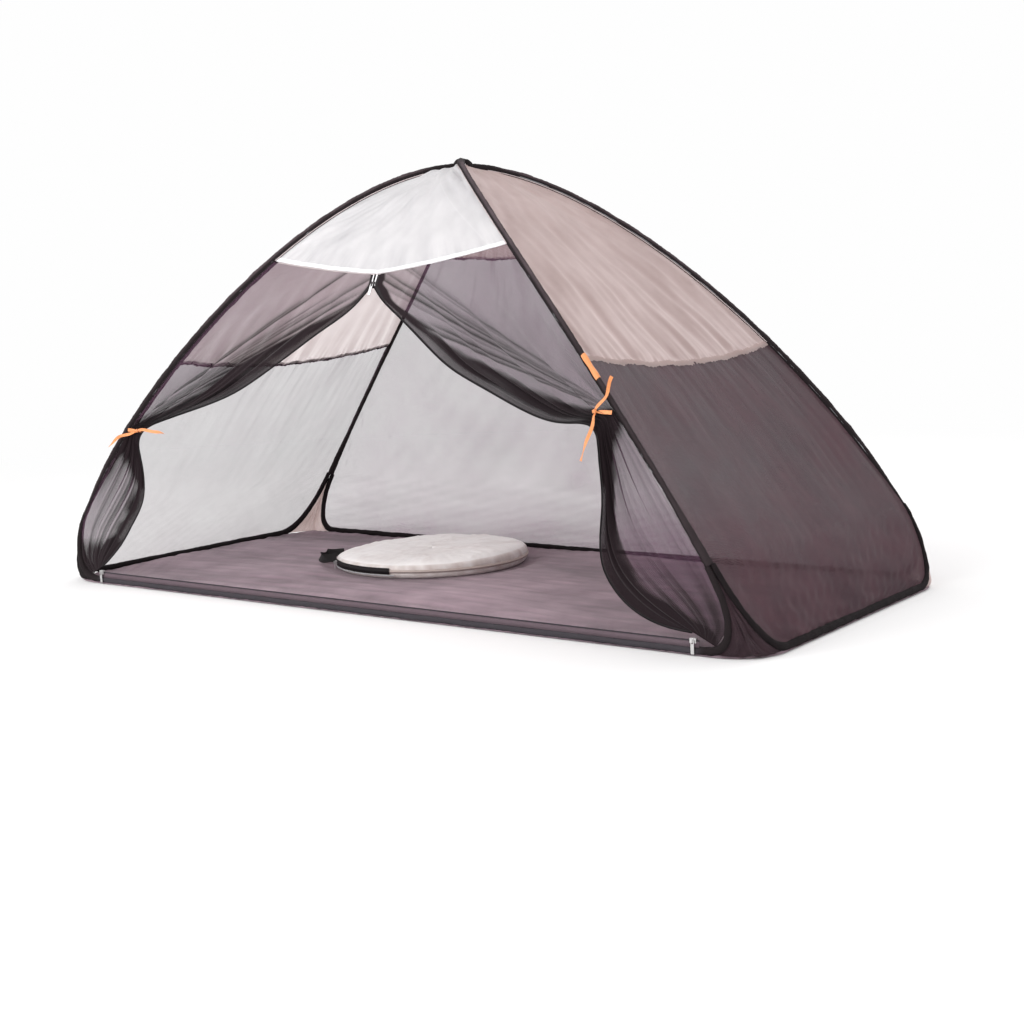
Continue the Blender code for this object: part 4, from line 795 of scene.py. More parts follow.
def curtainLines(sx):
    # the free edge across and up, and the sleeve's line in 3-D, row by row from the hem to the floor
    hem = hemPoint(np.linspace(0, 0.5, 13) if sx == left else np.linspace(1, 0.5, 13))
    topX = sx * curtain["slit"]
    shut = np.array([(topX, hem[-1, 2] - curtain["hemGap"]), (topX, doorTopShare * tent["height"])])
    opened = np.concatenate((shut[1:], doorEdgeShares[sx] * (tent["halfLength"], tent["height"])))
    free = resample(opened, curtain["rows"] - curtain["closed"] + 1)
    for turn in range(curtain["rounds"]):
        free[1:-1] = (free[:-2] + 2 * free[1:-1] + free[2:]) / 4
    free = np.concatenate((resample(shut, curtain["closed"] + 1), free[1:]))
    tie = curtain["tie"][sx]
    tied = edgeLine(np.array(tie / tent["split"]), sx, front, True)
    neck = int(np.linalg.norm(free - tied[[0, 2]], axis=1).argmin())
    toHem = np.linspace(tie, tent["hemShare"], 60) / tent["split"]
    toFoot = np.linspace(tie / tent["split"], curtain["foot"], 160)
    above, below = (edgeLine(q, sx, front, True, curtain["tuck"]) for q in (toHem, toFoot))
    above[-1] = above[-1] + unit(above[-2] - above[-1]) * curtain["hemGap"]
    outer = np.concatenate((resample(above, neck + 1, curtain["power"])[::-1],
                            resample(below, curtain["rows"] + 1 - neck, curtain["power"])[1:]))
    return hem, free, outer, neck, tied


def creaseLine(off, soft, sharp):
    # exp(-|off| / soft) on one side of its rim and exp(-|off| / sharp) on the other
    return np.where(off > 0, np.exp(-np.abs(off) / soft), np.exp(-np.abs(off) / sharp))


def makeDoorZip(sx, tag, i, free, stitched, seed):
    # tape from the free edge to the stitched line, marked where it is shut, with its coil on the edge
    k = np.linspace(0, 1, doorZip["cols"])[None, :, None]
    flat = free[:, None] * (1 - k) + stitched[:, None] * k
    wave = wander(i * 0.8, k[..., 0], seed, 3) * doorZip["wave"] * ease((i - 2.5) / 2)
    y = frontDepth(flat[..., 0], flat[..., 1]) + wave - doorZip["back"]
    tape = np.stack((flat[..., 0], y, flat[..., 1]), -1)
    shut = np.broadcast_to((i < curtain["closed"] + 0.1) * (k[..., 0] < 0.45) * 1.0, tape.shape[:2])
    made = makePiece("doorZip" + tag, [openPart(tape, shut)], doorTape, node="door_zip_" + tag.lower())
    bead = np.stack((free[:, 0] + doorZip["coilIn"] * sx,
                     frontDepth(free[:, 0], free[:, 1]) - doorZip["coilOut"], free[:, 1]), 1)
    teeth = smallTube(resample(bead, doorZip["coilStations"]), doorZip["coilRadius"], doorZip["coilSides"])
    makePiece("doorCoil" + tag, [teeth], zipTape)


def makeCurtain(sx, tag, seed):
    # rows run from the sleeve to the tape; pleats run down the columns and close up at the tie
    hem, free, outer, neck, tied = curtainLines(sx)
    rows, closed, times = curtain["rows"], curtain["closed"], curtain["fine"]
    way = unit(np.gradient(free, axis=0))
    into = np.stack((-way[:, 1], way[:, 0]), 1) * sx
    into[:closed + 1] = (sx, 0.0)
    narrow = ease((np.arange(rows + 1) - closed) / closed)[:, None]
    seam = free + into * (curtain["topTape"] + (curtain["edgeTape"] - curtain["topTape"]) * narrow)
    free, seam, outer = refine(free, times), refine(seam, times), refine(outer, times)
    inner = seam - (seam - free) / np.linalg.norm(seam - free, axis=1, keepdims=True) * curtain["under"]
    i = (np.arange(rows * times + 1) / times)[:, None]
    part = np.where(i <= neck, i / neck, (rows - i) / (rows - neck))
    u = np.linspace(0, 1, curtain["cols"] + 1)[None, :]
    x = outer[:, :1] * (1 - u) + inner[:, :1] * u
    z = outer[:, 2:] * (1 - u) + inner[:, 1:] * u
    order = np.argsort(hem[:, 0])
    belly = np.interp(x[0], hem[order, 0], hem[order, 2]) - curtain["hemGap"] - z[0]
    belly[[0, -1]] = 0.0
    z = z + belly * (1 - part) ** 2 * (i <= neck)
    rng = np.random.default_rng(seed)
    drift = wander(u * 3, i * 0.12, seed, 2) * 0.5
    pleat = sum(w * np.sin(2 * np.pi * (k * (u + 0.05 * drift)) + rng.uniform(0, 6.28))
                for k, w in ((5, 0.5), (9, 0.42), (14, 0.26)))
    tight = ease((part - 0.06) / 0.94)
    loose = np.sin(np.pi * np.clip(part, 0, 1)) ** 0.8
    edge = ease(u / 0.06) * ease((1 - u) / 0.05)
    deep = curtain["fold"] * tight + curtain["billow"] * loose * curtain["billowShare"]
    depth = deep * pleat * edge
    depth = depth * np.where(part > 0.93, curtain["fold"] / np.maximum(deep, 1e-6), 1.0)
    y = frontDepth(x, z) + depth + 0.0006 * ease((u - 0.9) / 0.05)
    y[:, 0] = outer[:, 1]
    grid = np.stack((x, y, z), -1)
    width = np.linalg.norm(inner - outer[:, [0, 2]], axis=1)[:, None]
    reach = width * (1 - u)
    ragged = 0.010 * wander(u * 2, i * 0.35, seed + 5, 4) + 0.006 * wander(u * 5, i * 1.1, seed + 8, 3)
    full, begin, rim = curtain["band"][sx]
    deepest = np.where(i <= neck, 0.014 + full * ease((part - begin) / 0.55), curtain["lowBand"][sx])
    band = ease((deepest - reach + ragged) / (0.006 + 0.26 * deepest))
    fringe = rim + (1 - rim) * ease((reach - deepest * 0.16 + 0.5 * ragged) / (0.20 * deepest))
    below = i > neck
    bend = u + 0.035 * drift + 0.012 * np.sin(i * 0.25 + 5 * u)
    # tension folds above the tie: height over the chord from zip top to tie, divided by what is left
    # of the chord, so that lines of equal value run straight into the tie
    start, chord = free[closed * times], tied[[0, 2]] - free[closed * times]
    length = np.hypot(*chord)
    sAlong = ((x - start[0]) * chord[0] + (z - start[1]) * chord[1]) / length ** 2
    over = ((x - start[0]) * -chord[1] + (z - start[1]) * chord[0]) * sx / length
    bowed = over / (0.06 + 0.94 * np.clip(1 - sAlong, 0, 1)) + 0.0022 * wander(x * 9, z * 9, seed + 4, 3)
    fan = np.arctan2(z - tied[2], (tied[0] - x) * sx)
    away = np.hypot(x - tied[0], z - tied[2])
    # crease lines, painted fold shade: each darkens and thickens the net, sharp on one side and fading on
    # the other, as overlapped layers would
    creases = np.zeros_like(x)
    for k in range(17):
        line = creaseLine(bowed - rng.uniform(-0.035, 0.075), rng.uniform(0.003, 0.012),
                          rng.uniform(0.0010, 0.0018))
        hold = ease((sAlong - rng.uniform(-0.2, 0.35)) / 0.22)
        creases = np.maximum(creases, np.where(below, 0, rng.uniform(0.35, 0.95) * line * hold))
    for k in range(12):
        line = creaseLine(fan - rng.uniform(0.3, 2.3), rng.uniform(0.02, 0.10), rng.uniform(0.008, 0.02))
        fade = np.exp(-away / rng.uniform(0.05, 0.16))
        creases = np.maximum(creases, np.where(below, 0, rng.uniform(0.4, 0.9) * line * fade))
    for k in range(16):
        line = creaseLine(bend - rng.uniform(0.03, 0.98), rng.uniform(0.02, 0.07), rng.uniform(0.006, 0.012))
        hold = ease((part - rng.uniform(-0.4, 0.5)) / 0.35)
        weight = rng.uniform(0.3, 0.9) * (1 - (1 - curtain["lowFold"][sx]) * ease((0.75 - u) / 0.2))
        creases = np.maximum(creases, np.where(below, weight * line * hold, 0))
    layers = 0.91 + 0.12 * wander(u * 40, i * 0.6, seed + 6, 3)
    veil = 0.13 + 0.12 * wander(x * 9, z * 9, seed + 9, 3) + 0.10 * ease((part - 0.3) / 0.6)
    veil = veil + below * curtain["lowVeil"][sx] + (0.5 if sx == left else 0) * ease((0.03 - u) / 0.03)
    mark = 1 - (1 - layers * band * fringe) * (1 - 0.85 * creases) * (1 - np.clip(veil, 0, 1))
    bunch = ease((part - np.where(below, curtain["bunchFrom"][sx], 0.86)) / 0.16)
    skirtTop = curtain["skirtTop"][sx]
    skirt = curtain["skirt"][sx] * ease((skirtTop - z) / (skirtTop - curtain["skirtFoot"])) * below
    mark = np.clip(mark + 0.8 * bunch + skirt * (0.75 + 0.25 * wander(u * 30, z * 8, seed + 2, 3)), 0, 1)
    made = makePiece("doorCurtain" + tag, [openPart(grid, mark)], curtainNet, node="door_net_" + tag.lower())
    makeDoorZip(sx, tag, i, free, seam, seed + 3)
    return tied, unit(outer[(neck + 1) * times] - outer[(neck - 1) * times])


leftTie = makeCurtain(left, "Left", 91)
rightTie = makeCurtain(right, "Right", 96)
print("curtains made")

# ribbons: a band round each gathered curtain, a knot and two hanging ends
ribbon = dict(width=0.008, inner=0.0052, knot=0.0050, knotDeep=0.0036, tail=0.0072, turns=28, rings=18,
              uvStep=0.003, uvKnot=(0.004, 0.006))


def makeRibbon(tag, tie, knotAt, tails, seed):
    # band out along the curtain's front and back again, a lumpy knot at its end and a tail to each place
    tied, down = tie
    knotted = np.array((knotAt[0], frontDepth(*knotAt), knotAt[1])) - tied
    along, across = np.linalg.norm(knotted), unit(knotted)
    down = unit(down - across * (down @ across))
    out = unit(np.cross(down, across))
    out = out * np.sign(-out[1])
    end = along + 0.002
    arc = np.linspace(np.pi / 2, -np.pi / 2, 14)
    path = [(p, ribbon["inner"]) for p in np.linspace(0, end, 14)]
    path += [(end + ribbon["inner"] * np.cos(a), ribbon["inner"] * np.sin(a)) for a in arc[1:]]
    path += [(p, -ribbon["inner"]) for p in np.linspace(end, 0.004, 14)[1:]]
    path = np.array(path)
    line = tied + path[:, :1] * across + path[:, 1:] * out
    k = np.linspace(-0.5, 0.5, 7)[None, :, None] * ribbon["width"]
    drawn = 1 - 0.45 * np.exp(-((path[:, 0] - along) / 0.012) ** 2) * (path[:, 1] > 0)
    band = line[:, None] + k * down * drawn[:, None, None]
    parts = [openPart(band, uv=gridOf(k[..., 0], np.arange(len(line))[:, None] * ribbon["uvStep"]))]
    knot = tied + across * along + out * (ribbon["inner"] + 0.0005)
    a = np.linspace(0, 2 * np.pi, ribbon["turns"], endpoint=False)[None, :]
    b = np.linspace(0.02, np.pi - 0.02, ribbon["rings"])[:, None]
    lump = 1 + 0.16 * np.sin(5 * a + 2.4 * b) + 0.08 * np.sin(9 * b)
    shape = (across * (np.sin(b) * np.cos(a) * lump)[..., None] * ribbon["knot"]
             + down * (np.sin(b) * np.sin(a) * lump)[..., None] * ribbon["knot"] * 0.85
             + out * (np.cos(b) * np.ones_like(a))[..., None] * ribbon["knotDeep"])
    centre = knot + out * ribbon["knotDeep"] * 0.7
    knotUv = gridOf(a * ribbon["uvKnot"][0], b * ribbon["uvKnot"][1])
    parts.append((centre + shape, knotUv, True, True, None))
    for n, (reachX, reachZ) in enumerate(tails):
        stop = knot + np.array((reachX * tent["halfLength"], 0.0, reachZ * tent["height"]))
        f = np.linspace(0, 1, 40)
        middle = knot[None] * (1 - f[:, None]) + stop[None] * f[:, None]
        step = unit(stop - knot)
        side = unit(np.cross(step, acrossY))
        bow = np.sin(np.pi * f) * 0.005 * (1 if n else -1) + 0.002 * np.sin(2.6 * np.pi * f)
        middle = middle + side * bow[:, None]
        lift = 0.0085 + 0.003 * np.sin(2 * np.pi * f + seed) + 0.004 * np.sin(np.pi * f)
        lift = lift + 0.012 * ease((np.abs(middle[:, 0]) - np.abs(tied[0]) + 0.02) / 0.03)
        y = frontDepth(middle[:, 0], middle[:, 2]) - lift * ease(f / 0.15 + 0.3)
        middle = np.stack((middle[:, 0], y, middle[:, 2]), 1)
        turn = (0.9 * np.sin(2.2 * np.pi * f + seed) * f)[:, None]
        ribWay = side * np.cos(turn) - acrossY * np.sin(turn)
        wide = ribbon["tail"] * (0.55 + 0.45 * ease(f / 0.25))
        k = np.linspace(-0.5, 0.5, 9)[None, :, None]
        tail = middle[:, None] + k * ribWay[:, None] * wide[:, None, None]
        length = np.linalg.norm(stop - knot)
        parts.append(openPart(tail, uv=gridOf(k[..., 0] * ribbon["tail"], f[:, None] * length)))
    makePiece("tieRibbon" + tag, parts, orangeRibbon, node="tie_ribbon_" + tag.lower())


makeRibbon("Left", leftTie, (-0.689, 0.3915), ((-0.085, -0.037), (0.100, -0.005)), 1.0)
makeRibbon("Right", rightTie, (0.638, 0.4582), ((0.041, 0.067), (-0.024, -0.094)), 2.2)

tab = dict(reachShare=0.0545, long=0.0662, wide=0.0115, wideShare=1.3, lift=0.0014, turn=0.30, curl=0.0007)


def makeTab():
    # blank strip on the front right ridge, from the end seam down
    t = np.linspace(tent["endSeam"], tent["endSeam"] + tab["reachShare"], 40)
    at, down, side, out = ridgeFrame(t, right, front)
    run = runLength(at)
    keep = run <= tab["long"]
    t, at, side, out, run = t[keep], at[keep], side[keep], out[keep], run[keep]
    k = np.linspace(-0.5, 0.5, 13)[None, :] * tab["wideShare"]
    wide, high = sleeveWide(t)[:, None] + tab["lift"], sleeveHigh(t)[:, None] + tab["lift"]
    turn = tab["turn"] + k * tab["wide"] / (0.6 * wide + 0.4 * high)
    curl = tab["curl"] * np.sin(run[:, None] * 150)
    grid = (at[:, None] + side[:, None] * ((wide + curl) * np.sin(turn))[..., None]
            + out[:, None] * ((high + curl) * np.cos(turn))[..., None])
    uv = gridOf(k * tab["wide"], run[:, None])
    made = makePiece("labelTab", [openPart(grid, uv=uv)], orangeRibbon, node="label_tab")


makeTab()


bagPlace = (-0.275, 0.16)  # where the storage bag lies and presses the floor flat
floorCloth = dict(cols=361, rows=201, inset=0.001, lift=0.0002, corner=0.105, pressed=0.295, edge=0.03,
                  slow=0.0032, streak=0.0005, tight=0.0024)


def makeFloor():
    # floor sheet: long low folds, short puckers along the hem, corners drawn round by the gussets
    x = np.linspace(-1, 1, floorCloth["cols"])[None, :]
    y = np.linspace(-1, 1, floorCloth["rows"])[:, None]
    x, y = np.broadcast_arrays(x, y)
    inside = ease((1 - np.abs(x)) / 0.02) * ease((1 - np.abs(y)) / 0.04)
    rim = np.exp(-(1 + y) / 0.16) + 0.5 * np.exp(-(1 - y) / 0.12) + 0.6 * np.exp(-(1 - np.abs(x)) / 0.07)
    bent = y + 0.10 * wander(x * 3, y * 2, 100, 2)
    slow = wander(x * 5 + bent * 3, bent * 9 - x * 1.5, 101, 4, 0.62)
    streak = wander(x * 7 + bent * 6, bent * 34 + x * 4, 103, 3, 0.7)
    tight = wander(x * 80 + y * 26, y * 12, 102, 3, 0.6) * rim
    height = slow * floorCloth["slow"] + streak * floorCloth["streak"] + tight * floorCloth["tight"]
    z = tent["floorTop"] + floorCloth["lift"] + (height - height.min()) * inside
    inset, corner = floorCloth["inset"], floorCloth["corner"]
    grid = np.stack((x * (tent["halfLength"] - inset), y * (tent["halfWidth"] - inset), z), -1)
    dx = np.clip((np.abs(grid[..., 0]) - tent["halfLength"] + corner) / corner, 1e-6, None)
    dy = np.clip((np.abs(grid[..., 1]) - tent["halfWidth"] + corner) / corner, 1e-6, None)
    keep = np.maximum(dx, dy) / np.hypot(dx, dy)
    for axis, d, half in ((0, dx, tent["halfLength"]), (1, dy, tent["halfWidth"])):
        moved = np.sign(grid[..., axis]) * (half - corner + d * keep * corner)
        grid[..., axis] = np.where((dx > 1e-5) & (dy > 1e-5), moved, grid[..., axis])
    away = np.hypot(grid[..., 0] - bagPlace[0], grid[..., 1] - bagPlace[1])
    under = ease((floorCloth["pressed"] - away) / floorCloth["edge"])
    grid[..., 2] = grid[..., 2] * (1 - under) + tent["floorTop"] * under
    # painted light and shade: lighter on one side of each fold and on crests, in a band along the front hem
    # and toward the front, darker toward the back
    slope = np.gradient(slow * 0.0030 + tight * 0.0020 + streak * 0.0003, axis=0)
    hem = np.exp(-(1 + y) / 0.10)
    paintedLight = (0.42 + 0.07 * slope / slope.std() + 0.16 * slow + 0.05 * streak
             + 0.22 * hem * (1 + 0.8 * tight) - 0.10 * y)
    made = makePiece("floorSheet", [openPart(grid, np.clip(paintedLight, 0, 1))], floorTaffeta, node="floor_sheet")


makeFloor()

floorZip = dict(end=0.868, y=-0.44765685, z=0.02995685, coilRadius=0.0016, halfTape=0.0007, drop=0.0118,
                stations=1737, sides=8, tooth=0.10, tapeStations=60)


def makeFloorZip():
    # half of the zip that stands on the front sleeve: a tape and its coil, one tooth every 2 mm
    end, y, z, radius, half = (floorZip[key] for key in ("end", "y", "z", "coilRadius", "halfTape"))
    foot = z - radius - floorZip["drop"]
    x = np.linspace(-end, end, floorZip["stations"])[:, None]
    ripple = 1 - floorZip["tooth"] * (np.arange(len(x)) % 2)[:, None]
    a = np.linspace(0, 2 * np.pi, floorZip["sides"], endpoint=False)
    coil = gridOf(x, y + np.cos(a) * radius * ripple, z + np.sin(a) * radius * ripple)
    ring = np.array(((-half, foot), (half, foot), (half, z), (-half, z)))
    tape = gridOf(np.linspace(-end, end, floorZip["tapeStations"])[:, None], y + ring[:, 0], ring[:, 1])
    parts = [(g, gridOf(g[..., 2], g[..., 0]), True, True, np.full(g.shape[:2], mark))
             for g, mark in ((coil, 0.0), (tape, 1.0))]
    makePiece("frontFloorZip", parts, hemTape, node="front_floor_zip")


makeFloorZip()

# storage bag: a slack round case lying on the floor
bag = dict(radius=0.250, thick=0.038, z=0.0023, turns=420, fine=4, pucker=0.0016, tilt=0.16, tiltWay=0.3,
           profile=((0.0, 0.0), (0.60, 0.0), (0.92, 0.0), (0.970, 0.05), (0.990, 0.16), (1.0, 0.32),
                    (1.0, 0.50), (0.998, 0.66), (0.985, 0.82), (0.955, 0.94), (0.90, 1.03), (0.80, 1.10),
                    (0.64, 1.14), (0.46, 1.14), (0.30, 1.12), (0.15, 1.10), (0.0, 1.10)))
bagZip = dict(start=225, end=405, blackEnd=284, stations=200, pipingStart=222, pipingEnd=287,
              pipingHeight=0.0085, pipingRadius=0.0017)
handle = dict(width=0.026, reach=0.048, stand=0.0012, steps=40, twist=0.75, crush=0.0030,
              shape=((22.0, 0.0), (22.0, 0.5), (22.35, 0.85), (23.0, 1.0), (23.65, 0.85), (24.0, 0.5),
                     (24.0, 0.0)))


def bagPoint(angle, radius, z):
    # the bag's centre + (radius * cos(angle), radius * sin(angle), z)
    return gridOf(bagPlace[0] + radius * np.cos(angle), bagPlace[1] + radius * np.sin(angle), bag["z"] + z)


def makeBag():
    # profile turned about the centre, with puckers round the side and a slack dimpled top
    angle = np.linspace(0, 2 * np.pi, bag["turns"], endpoint=False)[None, :]
    shape = refine(np.array(bag["profile"]), bag["fine"])
    r, h = np.clip(shape[:, :1], 0, 1.0), shape[:, 1:]
    side = np.exp(-((h - 0.55) / 0.5) ** 4) * ease((r - 0.88) / 0.08)
    zipMiddle = np.radians((bagZip["start"] + bagZip["end"]) / 2)
    gap = np.abs((angle - zipMiddle + np.pi) % (2 * np.pi) - np.pi)
    free = 0.55 + 0.45 * ease((gap - np.radians(95)) / 0.15)
    pucker = wander(angle * 30, h * 2.2, 111, 3, 0.6) * side * free
    cx, cy = np.cos(angle) * r, np.sin(angle) * r
    lumps = wander(cx * 4.5, cy * 4.5, 112, 3, 0.6)
    lines = np.exp(-np.abs(wander(cx * 6, cy * 6, 113, 4, 0.6)) / 0.10)
    rays = wander(angle * 20, r * 3, 114, 3, 0.6) * ease((r - 0.5) / 0.4)
    top = (h > 0.6) * ease((1 - r) / 0.10)
    z = bag["thick"] * h + (0.0028 * lumps + 0.0016 * lines + 0.0014 * rays) * top
    z = z * (1 + bag["tilt"] * r * np.cos(angle - bag["tiltWay"]))
    z = z + 0.0018 * np.sin(3 * angle + 1) * ease((h - 0.4) / 0.5)
    grid = bagPoint(angle, bag["radius"] * r - bag["pucker"] * np.abs(pucker), np.maximum(z, 0))
    # painted shade on the top: darker in crease lines, along the rays and between lumps; the side takes its
    # beige colour, with painted shade on its puckers
    shade = 0.02 - 0.10 * lumps + 0.20 * lines + 0.18 * rays
    sideShade = np.where(h < 0.9, 0.62 + 0.38 * np.clip(pucker / 0.8, -1, 1), 0) * ease((1.0 - h) / 0.2)
    mark = np.clip(np.broadcast_to(shade * top + sideShade, grid.shape[:2]), 0, 1)
    uv = gridOf(angle * bag["radius"] * np.maximum(r, 0.1), bag["thick"] * h + (1 - r) * 0.2)
    made = makePiece("storageBag", [(grid, uv, True, False, mark)], bagCloth, body="bag", node="storage_bag")


def makeBagZip():
    # tape half round the side, with the coil along its middle: black up to blackEnd, slimmer and pale
    # beyond, and a stretch of piping below
    angle = np.radians(np.linspace(bagZip["start"], bagZip["end"], bagZip["stations"]))[:, None]
    inner = bag["radius"] + tent["gap"]
    rise = np.array(((0.0, -0.0080), (0.0012, -0.0080), (0.0012, -0.0015), (0.0024, -0.0012),
                     (0.0024, 0.0012), (0.0012, 0.0015), (0.0012, 0.0080), (0.0, 0.0080)))
    black = np.radians(bagZip["blackEnd"])
    slim = 1 - 0.5 * ease((angle - black) / 0.02)
    ring = bagPoint(angle, inner + rise[:, 0], bag["thick"] / 2 + rise[:, 1] * slim)
    mark = np.broadcast_to((angle > black) * 1.0, ring.shape[:2])
    uv = gridOf(rise[:, 1], angle * 0.2)
    makePiece("bagZip", [(ring, uv, True, True, mark)], bagTape, body="bag", node="bag_zip")
    below = np.radians(np.linspace(bagZip["pipingStart"], bagZip["pipingEnd"], 90))
    line = bagPoint(below, bag["radius"] * 1.004, bagZip["pipingHeight"])
    makePiece("bagPiping", [smallTube(line, bagZip["pipingRadius"], 6)], whiteTaffeta, body="bag")


def makeBagHandle():
    # webbing loop bunched beside the zip: its shape is a place round the bag, in steps of a full turn,
    # and a share of its reach
    fine = refine(np.array(handle["shape"]), 10)
    angle = (2 * np.pi * fine[:, 0] / handle["steps"])[:, None]
    share = np.clip(fine[:, 1:], 0, 1)
    reach = bag["radius"] + tent["gap"] + handle["stand"] + handle["reach"] * share
    k = np.linspace(-0.5, 0.5, 9)[None, :]
    twist = handle["twist"] * np.sin(np.linspace(0, 3 * np.pi, len(fine)))[:, None]
    crush = handle["crush"] * wander(np.linspace(0, 9, len(fine))[:, None], k * 2, 131, 3) * share
    grid = bagPoint(angle, reach + k * handle["width"] * np.sin(twist) + crush,
                    bag["thick"] / 2 + k * handle["width"] * np.cos(twist) + crush)
    made = makePiece("bagHandle", [openPart(grid)], blackWebbing, body="bag", node="bag_handle")


makeBag()
makeBagZip()
makeBagHandle()
print("bag made")

# tapes over the roof seams
seam = dict(width=0.0069, lift=0.0012, wave=0.0016, margin=0.004, cols=420, rows=7, innerHeight=0.4)


def makeSeamTape(name, wall, material, drop=0.0, calm=1.0):
    # wavy strip over the stitched line between roof and net
    u = np.linspace(seam["margin"], 1 - seam["margin"], seam["cols"])[None, :]
    k = np.linspace(-0.5, 0.5, seam["rows"])[:, None]
    u, k = np.broadcast_arrays(u, k)
    wave = wander(u * 110, k * 0, 121, 3, 0.7) * seam["wave"] * calm
    q = seamRow(wall, u) + (k * seam["width"] + wave + drop) / 0.75
    grid = wallGrid(wall, q, u)
    normal = gridNormals(grid)
    facing = np.sign((normal * (grid - seam["innerHeight"] * up)).sum(-1, keepdims=True))
    puff = 0.6 + 0.4 * np.cos(np.pi * k) + 0.35 * calm * wander(u * 180, k * 2, 122, 2)
    grid = grid + normal * facing * (seam["lift"] * (0.6 + puff))[..., None]
    made = makePiece(name, [openPart(grid)], material)


makeSeamTape("leftSeamTape", leftWall, zipTape)
makeSeamTape("rightSeamTape", rightWall, beigeTaffeta)
makeSeamTape("backSeamTape", backWall, zipTape)
makeSeamTape("frontHem", frontWall, hemCloth, drop=-0.0035, calm=0.3)
print("seam tapes made")

# carried-over solids get their materials
nodeMaterials = dict(side_wire_loop=springSteel, end_wire_loop=springSteel, left_slider=nickelPlate,
                     right_slider=nickelPlate, door_top_slider=darkPlate, left_pull=nickelPlate,
                     right_pull=nickelPlate, door_top_pull=nickelPlate, bag_slider=nickelPlate,
                     bag_pull=nickelPlate)
for name, material in nodeMaterials.items():
    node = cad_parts[name]
    node.data.materials.clear()
    node.data.materials.append(material)

# camera at the photograph's angle
eye = dict(at=(2.3274, -3.0013, 0.6914), yaw=0.6367, pitch=0.1371, roll=-0.0351, focalPixels=1579.2,
           pixels=1024, sensor=36.0)


def placed(at, x, y, z):
    # the matrix that puts an object at a point, with its own axes along x, y and z
    turn = Matrix([list(row) for row in np.stack((x, y, z), 1)]).to_4x4()
    return Matrix.Translation(at) @ turn


cosYaw, sinYaw, cosPitch, sinPitch, cosRoll, sinRoll = (
    way(eye[key]) for key in ("yaw", "pitch", "roll") for way in (np.cos, np.sin))
ahead = np.array((-sinYaw * cosPitch, cosYaw * cosPitch, -sinPitch))
levelRight = np.array((cosYaw, sinYaw, 0.0))
levelUp = np.cross(levelRight, ahead)
lens = bpy.data.cameras.new("camera")
lens.sensor_width, lens.sensor_fit = eye["sensor"], "HORIZONTAL"
lens.lens = eye["focalPixels"] * eye["sensor"] / eye["pixels"]
camera = addObject("camera", lens)
camera.matrix_world = placed(eye["at"], cosRoll * levelRight + sinRoll * levelUp,
                             -sinRoll * levelRight + cosRoll * levelUp, -ahead)
bpy.context.scene.camera = camera

# pale floor and soft studio light; each lamp's place, the point it faces, its width and its power
studio = dict(floorHalf=40.0, floorDrop=0.0002, floor="F8F7F7", floorRough=0.9, backdrop="FEFEFE",
              fadeStart=1.6, fadeEnd=4.2, world=0.88,
              lamps=dict(keyLight=((-2.4, -3.6, 4.2), (0, 0, 0.4), 3.2, 84),
                         fillLight=((4.0, -2.6, 2.6), (0, 0, 0.4), 3.0, 50),
                         doorLight=((-0.9, -3.4, 0.95), (-0.1, 0.1, 0.05), 1.8, 41),
                         rimLight=((0.5, 4.0, 3.4), (0, 0, 0.5), 3.0, 35)))


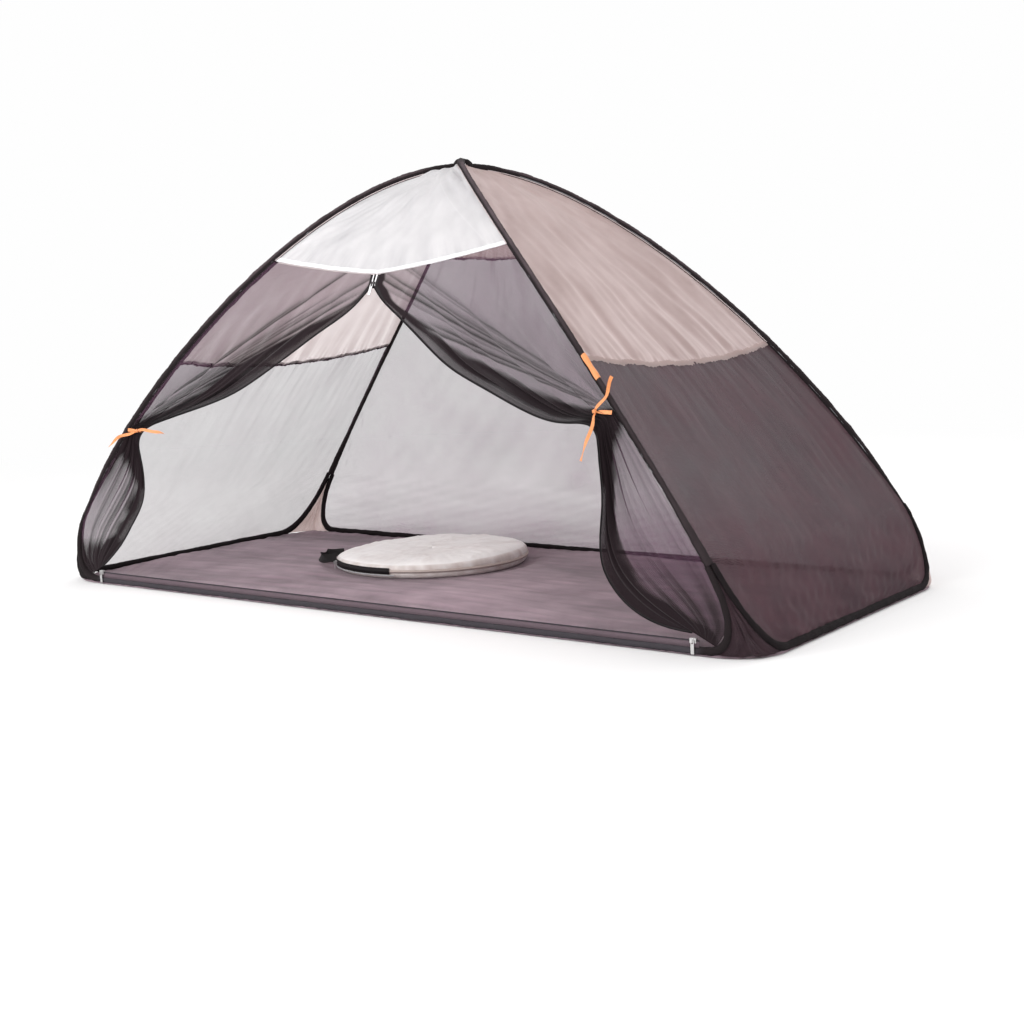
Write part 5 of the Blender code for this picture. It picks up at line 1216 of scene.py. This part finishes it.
def makeStudioFloor():
    # seen by the camera, the far floor fades into the white backdrop, so no horizon line shows
    ground = np.array(((-1, -1, 0), (1, -1, 0), (1, 1, 0), (-1, 1, 0)), float) * studio["floorHalf"]
    ground[:, 2] = -studio["floorDrop"]
    mesh = bpy.data.meshes.new("studioFloor")
    mesh.from_pydata(ground.tolist(), [], [(0, 1, 2, 3)])
    addObject("studioFloor", mesh)
    paint, tree, shader = startMaterial("pale_floor")
    setInputs(shader, {"Base Color": colour(studio["floor"]), "Roughness": studio["floorRough"]})
    mesh.materials.append(paint)
    far = addNode(tree, "ShaderNodeVectorMath", {"operation": "LENGTH"},
                  {0: addNode(tree, "ShaderNodeTexCoord").outputs["Object"]})
    far = addNode(tree, "ShaderNodeMapRange",
                  {"From Min": studio["fadeStart"], "From Max": studio["fadeEnd"],
                   "interpolation_type": "SMOOTHSTEP"}, {"Value": far.outputs["Value"]})
    seen = addNode(tree, "ShaderNodeLightPath").outputs["Is Camera Ray"]
    fade = mathNode(tree, "MULTIPLY", links={0: far.outputs[0], 1: seen})
    white = addNode(tree, "ShaderNodeEmission", {"Color": colour(studio["backdrop"]), "Strength": 1.0})
    showShader(tree, addNode(tree, "ShaderNodeMixShader",
                             links={0: fade.outputs[0], 1: shader.outputs[0], 2: white.outputs[0]}))


def areaLight(name, at, aim, size, power):
    # round lamp that shines along its own -z, so z = unit(at - aim)
    data = bpy.data.lights.new(name, "AREA")
    data.shape, data.size, data.energy = "DISK", size, power
    z = unit(np.array(at, float) - np.array(aim, float))
    x = unit(np.cross(up, z))
    addObject(name, data).matrix_world = placed(at, x, np.cross(z, x), z)


def makeWorld():
    # white to camera, glossy and transmission rays, and a dimmer white to all others
    world = bpy.data.worlds.new("studio")
    world.use_nodes = True
    bpy.context.scene.world = world
    tree = world.node_tree
    tree.nodes.clear()
    path = addNode(tree, "ShaderNodeLightPath").outputs
    seen = mathNode(tree, "MAXIMUM", links={0: path["Is Camera Ray"], 1: path["Is Glossy Ray"]})
    seen = mathNode(tree, "MAXIMUM", links={0: seen.outputs[0], 1: path["Is Transmission Ray"]})
    lit = addNode(tree, "ShaderNodeBackground", {"Color": (1, 1, 1, 1), "Strength": studio["world"]})
    backdrop = addNode(tree, "ShaderNodeBackground", {"Color": colour(studio["backdrop"]), "Strength": 1.0})
    mixed = addNode(tree, "ShaderNodeMixShader",
                    links={0: seen.outputs[0], 1: lit.outputs[0], 2: backdrop.outputs[0]})
    addNode(tree, "ShaderNodeOutputWorld", links={"Surface": mixed.outputs[0]})


makeStudioFloor()
for name, values in studio["lamps"].items():
    areaLight(name, *values)
makeWorld()
bpy.context.scene.view_settings.view_transform = "Standard"
print("camera and light set")
